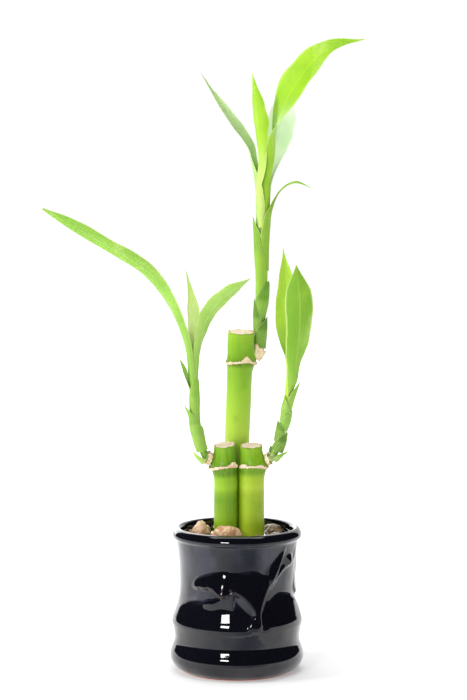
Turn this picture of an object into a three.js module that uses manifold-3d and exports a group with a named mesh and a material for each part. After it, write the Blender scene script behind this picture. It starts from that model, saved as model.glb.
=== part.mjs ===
// Lucky bamboo: three cut canes with leafy side shoots, standing in gravel and water in a glazed
// pot shaped like a joint of bamboo. Millimetres, +Z up, front towards -Y. The origin is the
// centre of the pot's flat foot.

import * as THREE from 'three';
import { mergeVertices } from 'three/addons/utils/BufferGeometryUtils.js';
import Module from 'manifold-3d';

const wasm = await Module();
wasm.setup();

// Driving dimensions

const gap = 0.3; // air between neighbouring pieces
const rimHeight = 69.8;
const wallFacets = 36; // around the pot
const gravelTop = 57.6;
const waterTop = 66.8;
const caneRadius = 5.85;
const caneFacets = 18;
const leafThickness = 0.28;

// A blade's shares of its length where it gets its full width and where it starts to narrow,
// unless a leaf gives its own, and the share where it would end in a point.
const bladeForm = { full: [0.45, 0.4], tip: 1.04 };

const stemSides = 8;
const meanRadius = 28; // of the wall where the sprig is
const pebbleLump = 0.07; // unevenness as a share of a pebble's size

// How far a joint stands out of a cane, and how far that spreads up and down: all around, on
// the side of the shoot, and at an old bare joint.
const swelling = { ring: [0.45, 3], shoot: [1.4, 4.2], old: [0.45, 2.4] };

// The husk left around a joint: its lower edge below the joint, its height, the wave of its
// upper edge, its thickness, how far its top leans out, its distance from the cane, and how
// many degrees a torn flap spreads to each side.
const husk = { drop: 1.2, height: 1.3, wave: 0.3, thickness: 0.45, flare: 0.15, away: 0.8, flapReach: 22 };

// The raised sprig: how deep its pieces are rooted in the wall, how far inside it their thin
// edge starts, the shares of a mound's width and length that are eased in, the share left out
// at each pointed end, and the steps along and across.
const relief = {
  root: 1.6, edge: 0.15, eased: 0.2, ends: 0.08, point: 0.02, leafSteps: [7, 3], moundSteps: [12, 5],
};

// Outer and inner wall of the pot as radius and height, foot to rim and rim to floor.
const outerWall = [
  [26, 0], [27.8, 0.8], [30.4, 2.8], [32, 5.6], [32.3, 8], [31.9, 10.2], [31.15, 12.3],
  [30.45, 14.4], [30.2, 16.6], [30.5, 19.4], [31.1, 22.4], [31.5, 24.2], [31, 26.4], [30.2, 28.6],
  [29.3, 31.2], [28.5, 34], [27.8, 38], [27.6, 42], [27.8, 48], [28.1, 54], [28.6, 59],
  [29.1, 62], [29.8, 64], [30.8, 65], [31.3, 66], [31.1, 67.2], [30.5, 68.5], [29.7, 69.4],
];
const innerWall = [
  [28.7, rimHeight], [27.8, 69.5], [27.1, 68.7], [26.8, 67.4], [26.5, 64], [25, 56], [23.4, 46],
  [23.3, 38], [24.8, 31], [26.2, 24], [25.6, 16], [25.8, 9], [23.5, 6],
];

// Each cane: where its foot stands, its leaning, the height of its joint and of its cut top,
// which way its shoot grows, the sides pressed against its neighbours, and how far the cut end
// is drawn in.
const canes = {
  tall: {
    foot: [-3.6, 11.2], lean: [0.036, 0], joint: 148.9, top: 163.2, oldJoint: 86,
    shootSide: 16, against: [], endRadius: 5.85, endShift: [0, 0], slope: [-0.4, 1.4],
    colour: 0x9ccb3f,
  },
  left: {
    foot: [-5.6, -1], lean: [0.003, 0], joint: 99.8, top: 109.9,
    shootSide: 185, against: [0, 68], endRadius: 5.1, endShift: [-0.7, 0], slope: [1.2, 1.9],
    colour: 0x84b82e,
  },
  right: {
    foot: [6.6, -1], lean: [0.002, 0], joint: 100.1, top: 109.5,
    shootSide: 350, against: [180, 121], endRadius: 5.4, endShift: [-0.2, 0], slope: [0.2, 1.7],
    colour: 0x93c22f,
  },
};
const caneFoot = 10; // the height that the canes are pushed down to

// Each shoot: the centre line of its stem, base to tip, and the stem's radius at both ends.
const shoots = {
  tall: {
    axis: [[10.7, 13.8, 151.5], [10.8, 14.5, 158], [10.9, 14.4, 167], [12, 13.8, 178],
      [12.6, 13, 190], [12.3, 12.4, 204], [12.7, 12, 222]],
    axisEnd: [13.2, 11.6, 246], stem: [2.2, 0.65],
  },
  left: {
    axis: [[-14.3, -2, 102.8], [-16.9, -2.6, 107.5], [-18.6, -3.2, 114], [-19.8, -3.8, 121],
      [-20.3, -4, 128], [-20.4, -4, 133]],
    axisEnd: [-20.9, -4, 156], stem: [2, 0.45],
  },
  right: {
    axis: [[16, -2.4, 102.4], [19, -3, 107.5], [20.8, -3.6, 115], [22.4, -4, 121],
      [24, -4.2, 129.5]],
    axisEnd: [28, -4.6, 150], stem: [2, 0.6],
  },
};

// Leaves, lowest first. node is the height where the sheath starts and side the way the midrib
// faces, in degrees from +X towards +Y. sheath is its length along the stem, grip its inside
// radius at both ends and wrap its half angle at both ends. blade lists the points that the
// midrib passes beyond the sheath, width is the widest the blade gets, cup its half angle there,
// turn how far it twists about its midrib, and full its own pair of bladeForm.full.
const leaves = {
  tall: [
    {
      node: 154.5, side: -15, sheath: 8, grip: [2.45, 3.2], wrap: [160, 115],
      blade: [[14.8, 12.8, 170.2]],
    },
    {
      node: 162, side: 188, sheath: 6, grip: [2.35, 2.8], wrap: [160, 100],
      blade: [[7.8, 13.6, 179]],
    },
    {
      node: 168, side: -38, sheath: 9, grip: [2.05, 3], wrap: [160, 125],
      blade: [[15.6, 11.2, 187.6]],
    },
    {
      node: 176, side: 196, sheath: 22, grip: [1.9, 2.65], wrap: [160, 130],
      blade: [[8.8, 11.6, 209], [7.5, 11, 218.6]],
    },
    {
      node: 192, side: -22, sheath: 20, grip: [1.62, 2.1], wrap: [150, 85],
      blade: [[16.4, 10.4, 221], [20, 9, 230], [27.2, 3, 234.6], [36.2, -5, 231.8]],
      width: 5, cup: 60, turn: 20,
    },
    {
      node: 202, side: 172, sheath: 28, grip: [1.35, 2.2], wrap: [150, 70],
      blade: [[7.4, 13.4, 243], [-0.6, 18, 260], [-9.6, 24, 275.5], [-17.4, 30, 288]],
      width: 6.4, cup: 60, turn: -70,
    },
    {
      node: 213, side: 62, sheath: 18, grip: [1.1, 1.65], wrap: [140, 90],
      blade: [[17, 20, 246], [21, 26, 260], [22.5, 40, 272], [24, 56, 271]],
      width: 15, cup: 30, turn: 10,
    },
    {
      node: 222.4, side: -125, sheath: 12, grip: [0.85, 1.5], wrap: [150, 85],
      blade: [[11, 8, 246], [10.4, 5.4, 262], [7.8, 0.8, 287.2]],
      width: 8.4, cup: 50, turn: -20, full: [0.25, 0.3],
    },
    {
      node: 224, side: -20, sheath: 12, grip: [0.4, 1.2], wrap: [130, 105],
      blade: [[16.2, 10, 246], [19.4, 4, 264], [28, -10, 284], [42.6, -18, 299], [58.4, -22, 302.4]],
      width: 14, cup: 28, turn: 75,
    },
  ],
  left: [
    {
      node: 105, side: 200, sheath: 1.2, grip: [2.7, 2.9], wrap: [60, 45],
      blade: [[-21.4, -4, 107.4]],
    },
    {
      node: 107, side: -82, sheath: 6.5, grip: [2.15, 2.7], wrap: [160, 115],
      blade: [[-19.1, -6.9, 121]],
    },
    {
      node: 111.5, side: 192, sheath: 7, grip: [1.8, 2.05], wrap: [160, 110],
      blade: [[-22.4, -4.6, 123], [-25.8, -5.4, 130]],
    },
    {
      node: 118.5, side: -50, sheath: 13, grip: [1.4, 1.85], wrap: [160, 120],
      blade: [[-18.9, -6, 143.4]],
    },
    {
      node: 126, side: 176, sheath: 8, grip: [1, 1.05], wrap: [140, 60],
      blade: [[-23.6, -4.4, 140], [-25.6, -5, 146.4], [-27.7, -6.6, 153]],
      width: 4, cup: 60, turn: -30,
    },
    {
      node: 133.4, side: 200, sheath: 12.6, grip: [0.7, 1.5], wrap: [150, 80],
      blade: [[-24.4, -6, 158], [-31.6, -9, 178.6], [-42, -12.6, 193.6], [-64, -16, 208], [-91, -19, 223.6]],
      width: 10, cup: 30, turn: 52, full: [0.6, 0.66],
    },
    {
      node: 136, side: -20, sheath: 10, grip: [0.35, 0.9], wrap: [140, 85],
      blade: [[-17.6, -6, 160], [-13, -9, 174], [-2.6, -13.6, 184.6], [6.2, -17, 190.8]],
      width: 9, cup: 34, turn: -45, full: [0.5, 0.6],
    },
    {
      node: 139.5, side: 110, sheath: 7, grip: [0.1, 0.45], wrap: [110, 90],
      blade: [[-20.8, -4, 160], [-21.6, -6, 178], [-24.4, -10, 195]],
      width: 7, cup: 50, turn: 0, full: [0.3, 0.3],
    },
  ],
  right: [
    {
      node: 104.4, side: 160, sheath: 1.6, grip: [2.7, 2.9], wrap: [50, 40],
      blade: [[15, -2.4, 109.2]],
    },
    {
      node: 105.8, side: -20, sheath: 1.2, grip: [2.7, 2.9], wrap: [60, 45],
      blade: [[25, -4.8, 107]],
    },
    {
      node: 107, side: -30, sheath: 4.5, grip: [2.1, 2.6], wrap: [160, 110],
      blade: [[24, -5.2, 116.2]],
    },
    {
      node: 111.5, side: 200, sheath: 5, grip: [1.8, 2.25], wrap: [160, 110],
      blade: [[18.9, -5, 121.8]],
    },
    {
      node: 117, side: -25, sheath: 4.5, grip: [1.6, 2.1], wrap: [160, 110],
      blade: [[26.4, -5.4, 126.4]],
    },
    {
      node: 121, side: 195, sheath: 6, grip: [1.4, 1.9], wrap: [160, 105],
      blade: [[22.4, -5.6, 133.8]],
    },
    {
      node: 126, side: -10, sheath: 6.5, grip: [1.2, 1.7], wrap: [160, 95],
      blade: [[30.2, -5, 141]],
    },
    {
      node: 130, side: 150, sheath: 9, grip: [0.9, 1.55], wrap: [150, 85],
      blade: [[24.4, -3, 152], [23, 0.6, 168], [23.8, 3, 184], [22.4, 8, 203.4]],
      width: 10, cup: 35, turn: -60, full: [0.45, 0.5],
    },
    {
      node: 134.6, side: -60, sheath: 7, grip: [0.2, 1.05], wrap: [130, 100],
      blade: [[28.2, -8, 151], [29.6, -10.6, 166], [29.6, -11, 180], [28, -9.4, 196.4]],
      width: 13.4, cup: 30, turn: -15, full: [0.6, 0.62],
    },
  ],
};

// Helpers

const radians = THREE.MathUtils.degToRad;
const lerp = THREE.MathUtils.lerp;
const smooth = THREE.MathUtils.smoothstep;
const vector = (point) => new THREE.Vector3(...point);

function between(pair, part) {
  return lerp(pair[0], pair[1], part);
}

function direction(degrees) {
  return new THREE.Vector3(Math.cos(radians(degrees)), Math.sin(radians(degrees)), 0);
}

function plain(geometry) {
  geometry.deleteAttribute('normal');
  geometry.deleteAttribute('uv');
  return mergeVertices(geometry, 1e-4);
}

function moved(geometry, place) {
  const position = geometry.attributes.position;
  const point = new THREE.Vector3();
  for (let i = 0; i < position.count; i += 1) {
    point.fromBufferAttribute(position, i);
    place(point);
    position.setXYZ(i, point.x, point.y, point.z);
  }
  return plain(geometry);
}

function lathe(profile, facets) {
  const points = profile.map(([radius, height]) => new THREE.Vector2(radius, height));
  return plain(new THREE.LatheGeometry(points, facets).rotateX(Math.PI / 2));
}

function solid(geometry) {
  const mesh = new wasm.Mesh({
    numProp: 3,
    vertProperties: new Float32Array(geometry.attributes.position.array),
    triVerts: new Uint32Array(geometry.index.array),
  });
  return new wasm.Manifold(mesh);
}

function geometryOf(manifold) {
  const mesh = manifold.getMesh();
  const geometry = new THREE.BufferGeometry();
  geometry.setAttribute('position', new THREE.BufferAttribute(new Float32Array(mesh.vertProperties), 3));
  geometry.setIndex(new THREE.BufferAttribute(new Uint32Array(mesh.triVerts), 1));
  return geometry;
}

function facingOut(geometry) {
  const index = geometry.index.array;
  const [a, b, c] = [new THREE.Vector3(), new THREE.Vector3(), new THREE.Vector3()];
  let volume = 0;
  for (let i = 0; i < index.length; i += 3) {
    a.fromBufferAttribute(geometry.attributes.position, index[i]);
    b.fromBufferAttribute(geometry.attributes.position, index[i + 1]);
    c.fromBufferAttribute(geometry.attributes.position, index[i + 2]);
    volume += a.dot(b.cross(c));
  }
  if (volume < 0) {
    index.reverse();
  }
  return geometry;
}

// A closed skin over rings of points. Each ring goes along its outer side and back along its
// inner side, so the end faces are strips between the two sides.
function loft(rings, closed = false) {
  const around = rings[0].length;
  const half = around / 2;
  const index = [];
  const last = closed ? rings.length : rings.length - 1;
  for (let i = 0; i < last; i += 1) {
    const here = i * around;
    const next = ((i + 1) % rings.length) * around;
    for (let j = 0; j < around; j += 1) {
      const k = (j + 1) % around;
      index.push(here + j, next + j, next + k, here + j, next + k, here + k);
    }
  }
  const end = (rings.length - 1) * around;
  for (let j = 0; j < half - 1 && !closed; j += 1) {
    const k = around - 1 - j;
    index.push(j, j + 1, k - 1, j, k - 1, k);
    index.push(end + j, end + k - 1, end + j + 1, end + j, end + k, end + k - 1);
  }
  const geometry = new THREE.BufferGeometry().setFromPoints(rings.flat());
  geometry.setIndex(index);
  return facingOut(geometry);
}

const model = new THREE.Group();

function addPiece(name, geometry, colour, roughness = 0.6) {
  const material = new THREE.MeshStandardMaterial({ color: colour, roughness, metalness: 0 });
  const mesh = new THREE.Mesh(geometry, material);
  mesh.name = name;
  model.add(mesh);
}

// Pot: a turned body with a raised sprig, a stem and leaves, joined to its wall

function smoothWall(keys, steps) {
  const curve = new THREE.SplineCurve(keys.map(([radius, height]) => new THREE.Vector2(radius, height)));
  return curve.getSpacedPoints(steps).map((point) => [point.x, point.y]);
}

const outline = smoothWall(outerWall, 30);
const hollow = smoothWall(innerWall, 12).reverse();

// The radius of a wall outline, foot first, at a height.
function radiusAt(wall, height) {
  const above = Math.max(wall.findIndex((point) => point[1] > height), 1);
  const [low, high] = [wall[above - 1], wall[above]];
  return lerp(low[0], high[0], (height - low[1]) / (high[1] - low[1]));
}

// A point lift millimetres out from the wall, at an angle counted from the front towards +X.
function onWall(angle, height, lift) {
  const radius = radiusAt(outline, height) + lift;
  return new THREE.Vector3(radius * Math.sin(radians(angle)), -radius * Math.cos(radians(angle)), height);
}

// An edge on the unrolled wall, in millimetres around and up.
function edgeOnWall(edge) {
  const points = edge.map(([angle, height]) => new THREE.Vector2(radians(angle) * meanRadius, height));
  return new THREE.SplineCurve(points);
}

// The lift of a spot, share of the way from the thin edge to the brink, which are width apart.
// A mound is eased in at its thin edge and, by ends, at both ends.
function liftAt({ slope, cone }, height, share, width, ends) {
  if (!cone) {
    return slope * width * share;
  }
  const [radius, widestAt, narrowing] = cone;
  const above = radius - (height - widestAt) * narrowing - radiusAt(outline, height);
  return Math.max(above, 0) * smooth(share, 0, relief.eased) * ends;
}

// A leaf, twig or mound that stands out of the wall, with its back rooted inside the wall.
function raised(piece) {
  const [thin, brink] = [edgeOnWall(piece.thin), edgeOnWall(piece.brink)];
  const [stations, across] = piece.cone ? relief.moundSteps : relief.leafSteps;
  const shares = Array.from({ length: across + 1 }, (_, j) => j / across);
  const rings = [];
  for (let i = 0; i <= stations; i += 1) {
    const part = lerp(relief.point, 1 - relief.point, i / stations);
    const [from, to] = [thin.getPointAt(part), brink.getPointAt(part)];
    const spots = shares.map((share) => from.clone().lerp(to, share));
    const ends = smooth(Math.min(part, 1 - part), 0, relief.ends);
    const at = (spot, lift) => onWall(THREE.MathUtils.radToDeg(spot.x / meanRadius), spot.y, lift);
    const outside = spots.map((spot, j) => at(
      spot, liftAt(piece, spot.y, shares[j], from.distanceTo(to), ends) - relief.edge));
    const inside = spots.map((spot) => at(spot, -relief.root));
    rings.push([...outside, ...inside.reverse()]);
  }
  return solid(loft(rings));
}

// Each piece of the sprig from its thin edge, flush with the wall, to its brink, the edge that
// stands out furthest, both as angle from the front towards +X and height. A leaf or twig rises
// by slope with the distance from its thin edge. A mound rises to a cone, which is given by its
// radius, the height where it has that radius, and how fast it narrows upwards.
const sprig = [
  {
    thin: [[-6, 41], [-20, 45], [-18, 51], [-6, 52.6], [3, 52.8], [8, 54.4], [16, 54.8], [22, 53.2],
      [27, 51], [34, 51]],
    brink: [[-6, 41], [-2.6, 41], [4, 39], [11, 35], [14, 31.6], [10.5, 28.5], [9, 24.6],
      [22, 24.4], [24.6, 33], [33, 43], [40, 47.6], [34, 51]],
    cone: [32, 25, 0.138],
  },
  {
    thin: [[25.5, 24.5], [28, 33], [44, 41.6], [57, 41], [76, 38]],
    brink: [[25.5, 24.5], [42, 24.6], [58, 24.7], [74, 24.9], [84, 25.6], [84, 31], [76, 38]],
    cone: [31.9, 24.6, 0.25],
  },
  {
    thin: [[-52.5, 44], [-49, 46.4], [-42, 49], [-29, 51.4], [-12, 52.8], [2, 53]],
    brink: [[-52.5, 44], [-47, 43.2], [-36, 43.4], [-25, 43.6], [-16, 40.6], [-6, 41], [2, 43]],
    slope: 0.29,
  },
  {
    thin: [[-34.8, 34.6], [-26, 33.8], [-15, 35], [-3.5, 34]],
    brink: [[-34.8, 34.6], [-33, 37], [-22, 38.2], [-4, 42.4], [-3, 38], [-3.5, 34]],
    slope: 0.32,
  },
  {
    thin: [[-2, 40.6], [3, 37], [9.2, 33.4], [15, 31]],
    brink: [[-2, 40.6], [5.4, 40], [12.4, 36], [15, 31]],
    slope: 0.66,
  },
  {
    thin: [[25, 50], [33, 55.4], [43, 60.6], [54, 63.8]],
    brink: [[25, 50], [35, 46.6], [42, 51.4], [48, 57.2], [54, 63.8]],
    slope: 0.34,
  },
  {
    thin: [[50, 54.6], [54, 58.6], [62, 59.6], [70, 58]],
    brink: [[50, 54.6], [56, 53.6], [63, 54.4], [70, 58]],
    slope: 0.36,
  },
  {
    thin: [[30, 44], [38, 51], [52, 55.2], [68, 57.4], [84, 64]],
    brink: [[30, 44], [34, 43], [42.5, 48], [54, 52.4], [70, 54.6], [84, 64]],
    slope: 0.36,
  },
  {
    thin: [[77, 46], [81, 50], [90, 48]],
    brink: [[77, 46], [78, 40], [84, 38], [90, 48]],
    slope: 0.14,
  },
  {
    thin: [[120, 44], [104, 40], [86, 44], [82, 54], [92, 63]],
    brink: [[120, 44], [124, 52], [112, 62], [92, 63]],
    slope: 0.16,
  },
];

function potGeometry() {
  const floor = hollow[0][1];
  const body = solid(lathe([[0, 0], ...outline, ...[...hollow].reverse(), [0, floor]], wallFacets));
  const whole = sprig.reduce((sum, piece) => sum.add(raised(piece)), body);
  return geometryOf(whole);
}

addPiece('pot', potGeometry(), 0x17181c, 0.12);

// Canes: round stems, swollen at the joint on the side where the shoot grows

// How free a cane is to swell at an angle: none where it presses against its neighbour.
function freedom(cane, angle) {
  const closeness = cane.against.map((side) => Math.cos(radians(angle - side)));
  return 1 - smooth(Math.max(...closeness, -1), 0.2, 0.7);
}

// How much an angle faces the shoot: 1 towards it and 0 from a quarter turn away.
function facingShoot(cane, angle) {
  return Math.max(Math.cos(radians(angle - cane.shootSide)), 0) ** 2;
}

function bulge([rise, spread], distance) {
  return rise * Math.exp(-((distance / spread) ** 2));
}

// How far the joints stand out of the cane's round body, at an angle and a height.
function jointSwelling(cane, angle, height) {
  const ring = bulge(swelling.ring, height - cane.joint + 0.5) * freedom(cane, angle);
  const shoot = bulge(swelling.shoot, height - cane.joint - 0.5) * facingShoot(cane, angle);
  const old = cane.oldJoint ? bulge(swelling.old, height - cane.oldJoint) : 0;
  return ring + shoot + old;
}

function caneCentre(cane, height) {
  const rise = height - caneFoot;
  const end = smooth(height, cane.joint, cane.joint + 6);
  return new THREE.Vector3(
    cane.foot[0] + cane.lean[0] * rise + cane.endShift[0] * end,
    cane.foot[1] + cane.lean[1] * rise + cane.endShift[1] * end, height);
}

function caneGeometry(cane, swell = 0) {
  const { joint, top, oldJoint, endRadius } = cane;
  const ripples = [-9, -5, -3, -1.5, 0, 1.5].map((offset) => joint + offset);
  const below = oldJoint ? [-4, -2, 0, 2, 4].map((offset) => oldJoint + offset) : [];
  const full = caneRadius + swell;
  const cut = endRadius + swell;
  const profile = [
    [0, caneFoot - swell], [full - 0.4, caneFoot - swell], [full, caneFoot + 1],
    ...[...below, ...ripples].map((height) => [full, height]),
    [lerp(full, cut, 0.5), joint + 3], [cut, joint + 6], [cut, top - 0.4], [cut - 0.35, top], [0, top],
  ];
  return moved(lathe(profile, caneFacets), (point) => {
    const reach = Math.hypot(point.x, point.y) / full;
    const angle = THREE.MathUtils.radToDeg(Math.atan2(point.y, point.x));
    const grown = 1 + (Math.min(reach, 1) * jointSwelling(cane, angle, point.z)) / full;
    const onTop = point.z > top - 0.6 ? 1 : 0;
    const tilt = (onTop * (cane.slope[0] * point.x + cane.slope[1] * point.y)) / (2 * caneRadius);
    const centre = caneCentre(cane, point.z);
    point.set(centre.x + point.x * grown, centre.y + point.y * grown, point.z + tilt);
  });
}

for (const [name, cane] of Object.entries(canes)) {
  addPiece(`${name}_cane`, caneGeometry(cane), cane.colour, 0.4);
}

// Husk rings: the torn paper-thin collars around the joints, open where canes press together

function huskRing(cane, { span, sag, flaps }) {
  const steps = 28;
  const closed = span[1] - span[0] === 360;
  const centre = caneCentre(cane, cane.joint);
  const rings = Array.from({ length: closed ? steps : steps + 1 }, (_, i) => {
    const angle = between(span, i / steps);
    const toShoot = facingShoot(cane, angle);
    const flap = flaps.reduce(
      (sum, [side, height]) => sum + height * Math.max(1 - Math.abs(angle - side) / husk.flapReach, 0), 0);
    const low = cane.joint - husk.drop - sag * Math.sin(radians(angle * 2 + 40)) - 0.8 * toShoot;
    const high = low + husk.height + husk.wave * Math.sin(radians(angle * 5)) + flap;
    const inside = caneRadius + husk.away + swelling.shoot[0] * toShoot;
    const at = (radius, height) => direction(angle).multiplyScalar(radius).add(centre).setZ(height);
    return [
      at(inside, low), at(inside + husk.flare, high),
      at(inside + husk.flare + husk.thickness, high), at(inside + husk.thickness, low),
    ];
  });
  return loft(rings, closed);
}

// Each ring's span around its cane, how far it sags, and its torn flaps as side and height.
const huskCuts = {
  tall: { span: [0, 360], sag: 0.5, flaps: [[295, 2.2], [245, -0.4]] },
  left: { span: [110, 322], sag: 0.5, flaps: [[300, 1.6]] },
  right: { span: [218, 432], sag: 0.3, flaps: [[240, 0.7]] },
};
for (const [name, cut] of Object.entries(huskCuts)) {
  addPiece(`${name}_cane_husk`, huskRing(canes[name], cut), 0xf0d3b4, 0.8);
}

// Shoots: a tapering stem, wrapped in nested sheaths whose blades leave it one after another

function shootLine(shoot) {
  return new THREE.CatmullRomCurve3([...shoot.axis, shoot.axisEnd].map(vector), false, 'centripetal');
}

function lineAt(line, height) {
  let [low, high] = [0, 1];
  for (let i = 0; i < 30; i += 1) {
    const middle = (low + high) / 2;
    if (line.getPoint(middle).z < height) {
      low = middle;
    } else {
      high = middle;
    }
  }
  return { point: line.getPoint(low), along: line.getTangent(low) };
}

function stemGeometry(shoot) {
  const line = shootLine(shoot);
  const [bottom, top] = [shoot.axis[0][2], shoot.axis.at(-1)[2]];
  const steps = 8;
  const rings = [];
  for (let i = 0; i <= steps; i += 1) {
    const { point, along } = lineAt(line, lerp(bottom, top, i / steps));
    const side = new THREE.Vector3(0, 1, 0).cross(along).normalize();
    const front = along.clone().cross(side);
    const radius = between(shoot.stem, i / steps);
    const ring = [];
    for (let j = 0; j < stemSides; j += 1) {
      const turn = (2 * Math.PI * (j + 0.5)) / stemSides;
      ring.push(point.clone()
        .addScaledVector(side, radius * Math.cos(turn))
        .addScaledVector(front, radius * Math.sin(turn)));
    }
    rings.push(ring);
  }
  return loft(rings);
}

// The midrib: up along the stem at the sheath's middle radius, then out along the blade.
function midribOf(line, leaf) {
  const out = direction(leaf.side);
  const points = [];
  const steps = Math.max(Math.round(leaf.sheath / 5), 2);
  for (let i = 0; i <= steps; i += 1) {
    const { point, along } = lineAt(line, leaf.node + (leaf.sheath * i) / steps);
    const away = out.clone().addScaledVector(along, -out.dot(along)).normalize();
    points.push(point.addScaledVector(away, between(leaf.grip, i / steps) + leafThickness / 2));
  }
  return new THREE.CatmullRomCurve3([...points, ...leaf.blade.map(vector)], false, 'centripetal');
}

// Stops along the midrib as shares of its length: a few up the sheath, the rest along the blade.
function leafStops(sheathShare, sheathSteps, bladeSteps) {
  const sheathStops = Array.from({ length: sheathSteps }, (_, i) => (sheathShare * i) / sheathSteps);
  const bladeStops = Array.from({ length: bladeSteps + 1 }, (_, i) => lerp(sheathShare, 1, i / bladeSteps));
  return [...sheathStops, ...bladeStops];
}

// How a leaf is rolled at a stop, as a half angle and a radius. inSheath and inBlade run from 0
// to 1 along each part. A leaf without a blade keeps to the stem and narrows to its tip.
function rolledTo(leaf, inSheath, inBlade) {
  const grip = between(leaf.grip, inSheath) + leafThickness / 2;
  const wrap = radians(between(leaf.wrap, inSheath));
  if (!leaf.width) {
    return { angle: wrap * (1 - 0.96 * inBlade), radius: grip };
  }
  if (inBlade === 0) {
    return { angle: wrap, radius: grip };
  }
  const mouthWidth = 2 * wrap * grip;
  const [widest, narrows] = leaf.full ?? bladeForm.full;
  const fullWidth = lerp(mouthWidth, Math.max(leaf.width, mouthWidth), smooth(inBlade, 0, widest));
  const narrowing = Math.cos((Math.PI / 2) * smooth(inBlade, narrows, bladeForm.tip) ** 1.1);
  const angle = lerp(wrap, radians(leaf.cup), smooth(inBlade, 0, 0.35));
  return { angle, radius: (fullWidth * narrowing) / (2 * angle) };
}

function leafGeometry(shoot, leaf) {
  const line = shootLine(shoot);
  const midrib = midribOf(line, leaf);
  const sheathShare = leaf.sheath / midrib.getLength();
  const points = leaf.width ? 7 : 11; // across one side of the leaf
  const stops = leaf.width ? leafStops(sheathShare, 2, 4 + leaf.blade.length) : leafStops(sheathShare, 3, 2);
  let lastAlong = lineAt(line, leaf.node).along;
  const level = direction(leaf.side).cross(lastAlong).normalize();
  const rings = stops.map((stop) => {
    const centre = midrib.getPointAt(stop);
    const along = midrib.getTangentAt(stop);
    level.applyQuaternion(new THREE.Quaternion().setFromUnitVectors(lastAlong, along)).normalize();
    lastAlong = along;
    const inBlade = Math.max((stop - sheathShare) / (1 - sheathShare), 0);
    const twist = radians(leaf.turn ?? 0) * smooth(inBlade, 0, 0.6);
    const sidewise = level.clone().applyAxisAngle(along, twist);
    const inward = sidewise.clone().cross(along).normalize();
    const { angle, radius } = rolledTo(leaf, Math.min(stop / sheathShare, 1), inBlade);
    const skin = Math.min(leafThickness, radius * 0.8);
    const at = (share, offset) => centre.clone()
      .addScaledVector(sidewise, (radius + offset) * Math.sin(share * angle))
      .addScaledVector(inward, radius - (radius + offset) * Math.cos(share * angle));
    const shares = Array.from({ length: points }, (_, j) => (2 * j) / (points - 1) - 1);
    const outside = shares.map((share) => at(share, skin / 2));
    const inside = shares.map((share) => at(share, -skin / 2));
    return [...outside, ...inside.reverse()];
  });
  return loft(rings);
}

// The husk at a shoot's base: a short open cup of old sheath on the side away from the cane.
const baseHusks = {
  tall: { node: 151.6, side: -15, sheath: 2, grip: [3.1, 3.5], wrap: [85, 100], blade: [[14, 12.6, 156]] },
  left: { node: 102.8, side: 215, sheath: 1.2, grip: [3, 3.2], wrap: [80, 90], blade: [[-19, -4.4, 105]] },
  right: { node: 102.4, side: -35, sheath: 1.2, grip: [3, 3.2], wrap: [80, 90], blade: [[20, -5, 104.6]] },
};

for (const [name, shoot] of Object.entries(shoots)) {
  addPiece(`${name}_shoot_stem`, stemGeometry(shoot), 0x7fb03a);
  addPiece(`${name}_shoot_husk`, leafGeometry(shoot, baseHusks[name]), 0xf0d3b4, 0.8);
  leaves[name].forEach((leaf, i) => {
    addPiece(`${name}_leaf_${i + 1}`, leafGeometry(shoot, leaf), leaf.width ? 0xb4dc4a : 0x79ad35);
  });
}

// Pebbles that lie on the gravel around the canes

const pebbles = [
  { at: [-17.6, -6.4], size: [5.4, 4.8, 8.3], turn: 20, colour: 0xe0bd85 },
  { at: [-4.8, -14.6], size: [8.8, 4.6, 7.6], turn: -6, colour: 0xe4c48f },
  { at: [-17.3, -14.7], size: [2.5, 2.7, 6.4], turn: 40, colour: 0xd0a17c },
  { at: [9.6, -15.6], size: [4.6, 4.6, 5.3], turn: 10, colour: 0xcfae84 },
  { at: [17.2, 8.8], size: [7.2, 5.2, 6], turn: 55, colour: 0xa98a6d },
  { at: [18.8, -7.4], size: [4.8, 6, 5.3], turn: -20, colour: 0xc9a87c },
  { at: [-16, 6.8], size: [5.4, 5.4, 5.8], turn: 70, colour: 0xd6b486 },
  { at: [-8.4, 19.6], size: [5.4, 4, 5.4], turn: 10, colour: 0xbd9a76 },
  { at: [3.8, 21], size: [4.8, 3.6, 5.5], turn: 0, colour: 0xdcc096 },
  { at: [-22.2, 0.6], size: [2.8, 2.8, 5.4], turn: 0, colour: 0xcaa67e },
  { at: [16.4, -16], size: [2.8, 3, 5.4], turn: 30, colour: 0xd9b98c },
  { at: [12.2, 18], size: [3.2, 3, 5.4], turn: -30, colour: 0xc29f7b },
  { at: [-16.4, 15.2], size: [2.6, 2.5, 5.3], turn: 10, colour: 0xd3b084 },
];

function pebbleGeometry(pebble, swell = 0) {
  const [x, y] = pebble.at;
  const [long, wide, high] = pebble.size.map((half) => half + swell);
  const bottom = gravelTop + gap;
  const seed = pebble.turn + x;
  const ball = new THREE.IcosahedronGeometry(1, 1);
  return moved(ball, (point) => {
    const bump = Math.sin(3 * point.x + seed) * Math.cos(2.6 * point.y - seed); // -1 to 1
    point.multiplyScalar(1 + pebbleLump * (bump - 1)).multiply(new THREE.Vector3(long, wide, high));
    point.applyAxisAngle(new THREE.Vector3(0, 0, 1), radians(pebble.turn));
    point.add(new THREE.Vector3(x, y, bottom + pebble.size[2]));
  });
}

pebbles.forEach((pebble, i) => {
  addPiece(`pebble_${i + 1}`, pebbleGeometry(pebble), pebble.colour, 0.5);
});

// Gravel fills the pot around the canes, and water stands on it around canes and pebbles

function filling(bottom, top) {
  const side = hollow.filter(([, height]) => height > bottom && height < top);
  const edge = [[radiusAt(hollow, bottom), bottom], ...side, [radiusAt(hollow, top), top]];
  const skirt = edge.map(([radius, height]) => [radius - gap, height]);
  return solid(lathe([[0, bottom], ...skirt, [0, top]], wallFacets));
}

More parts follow.
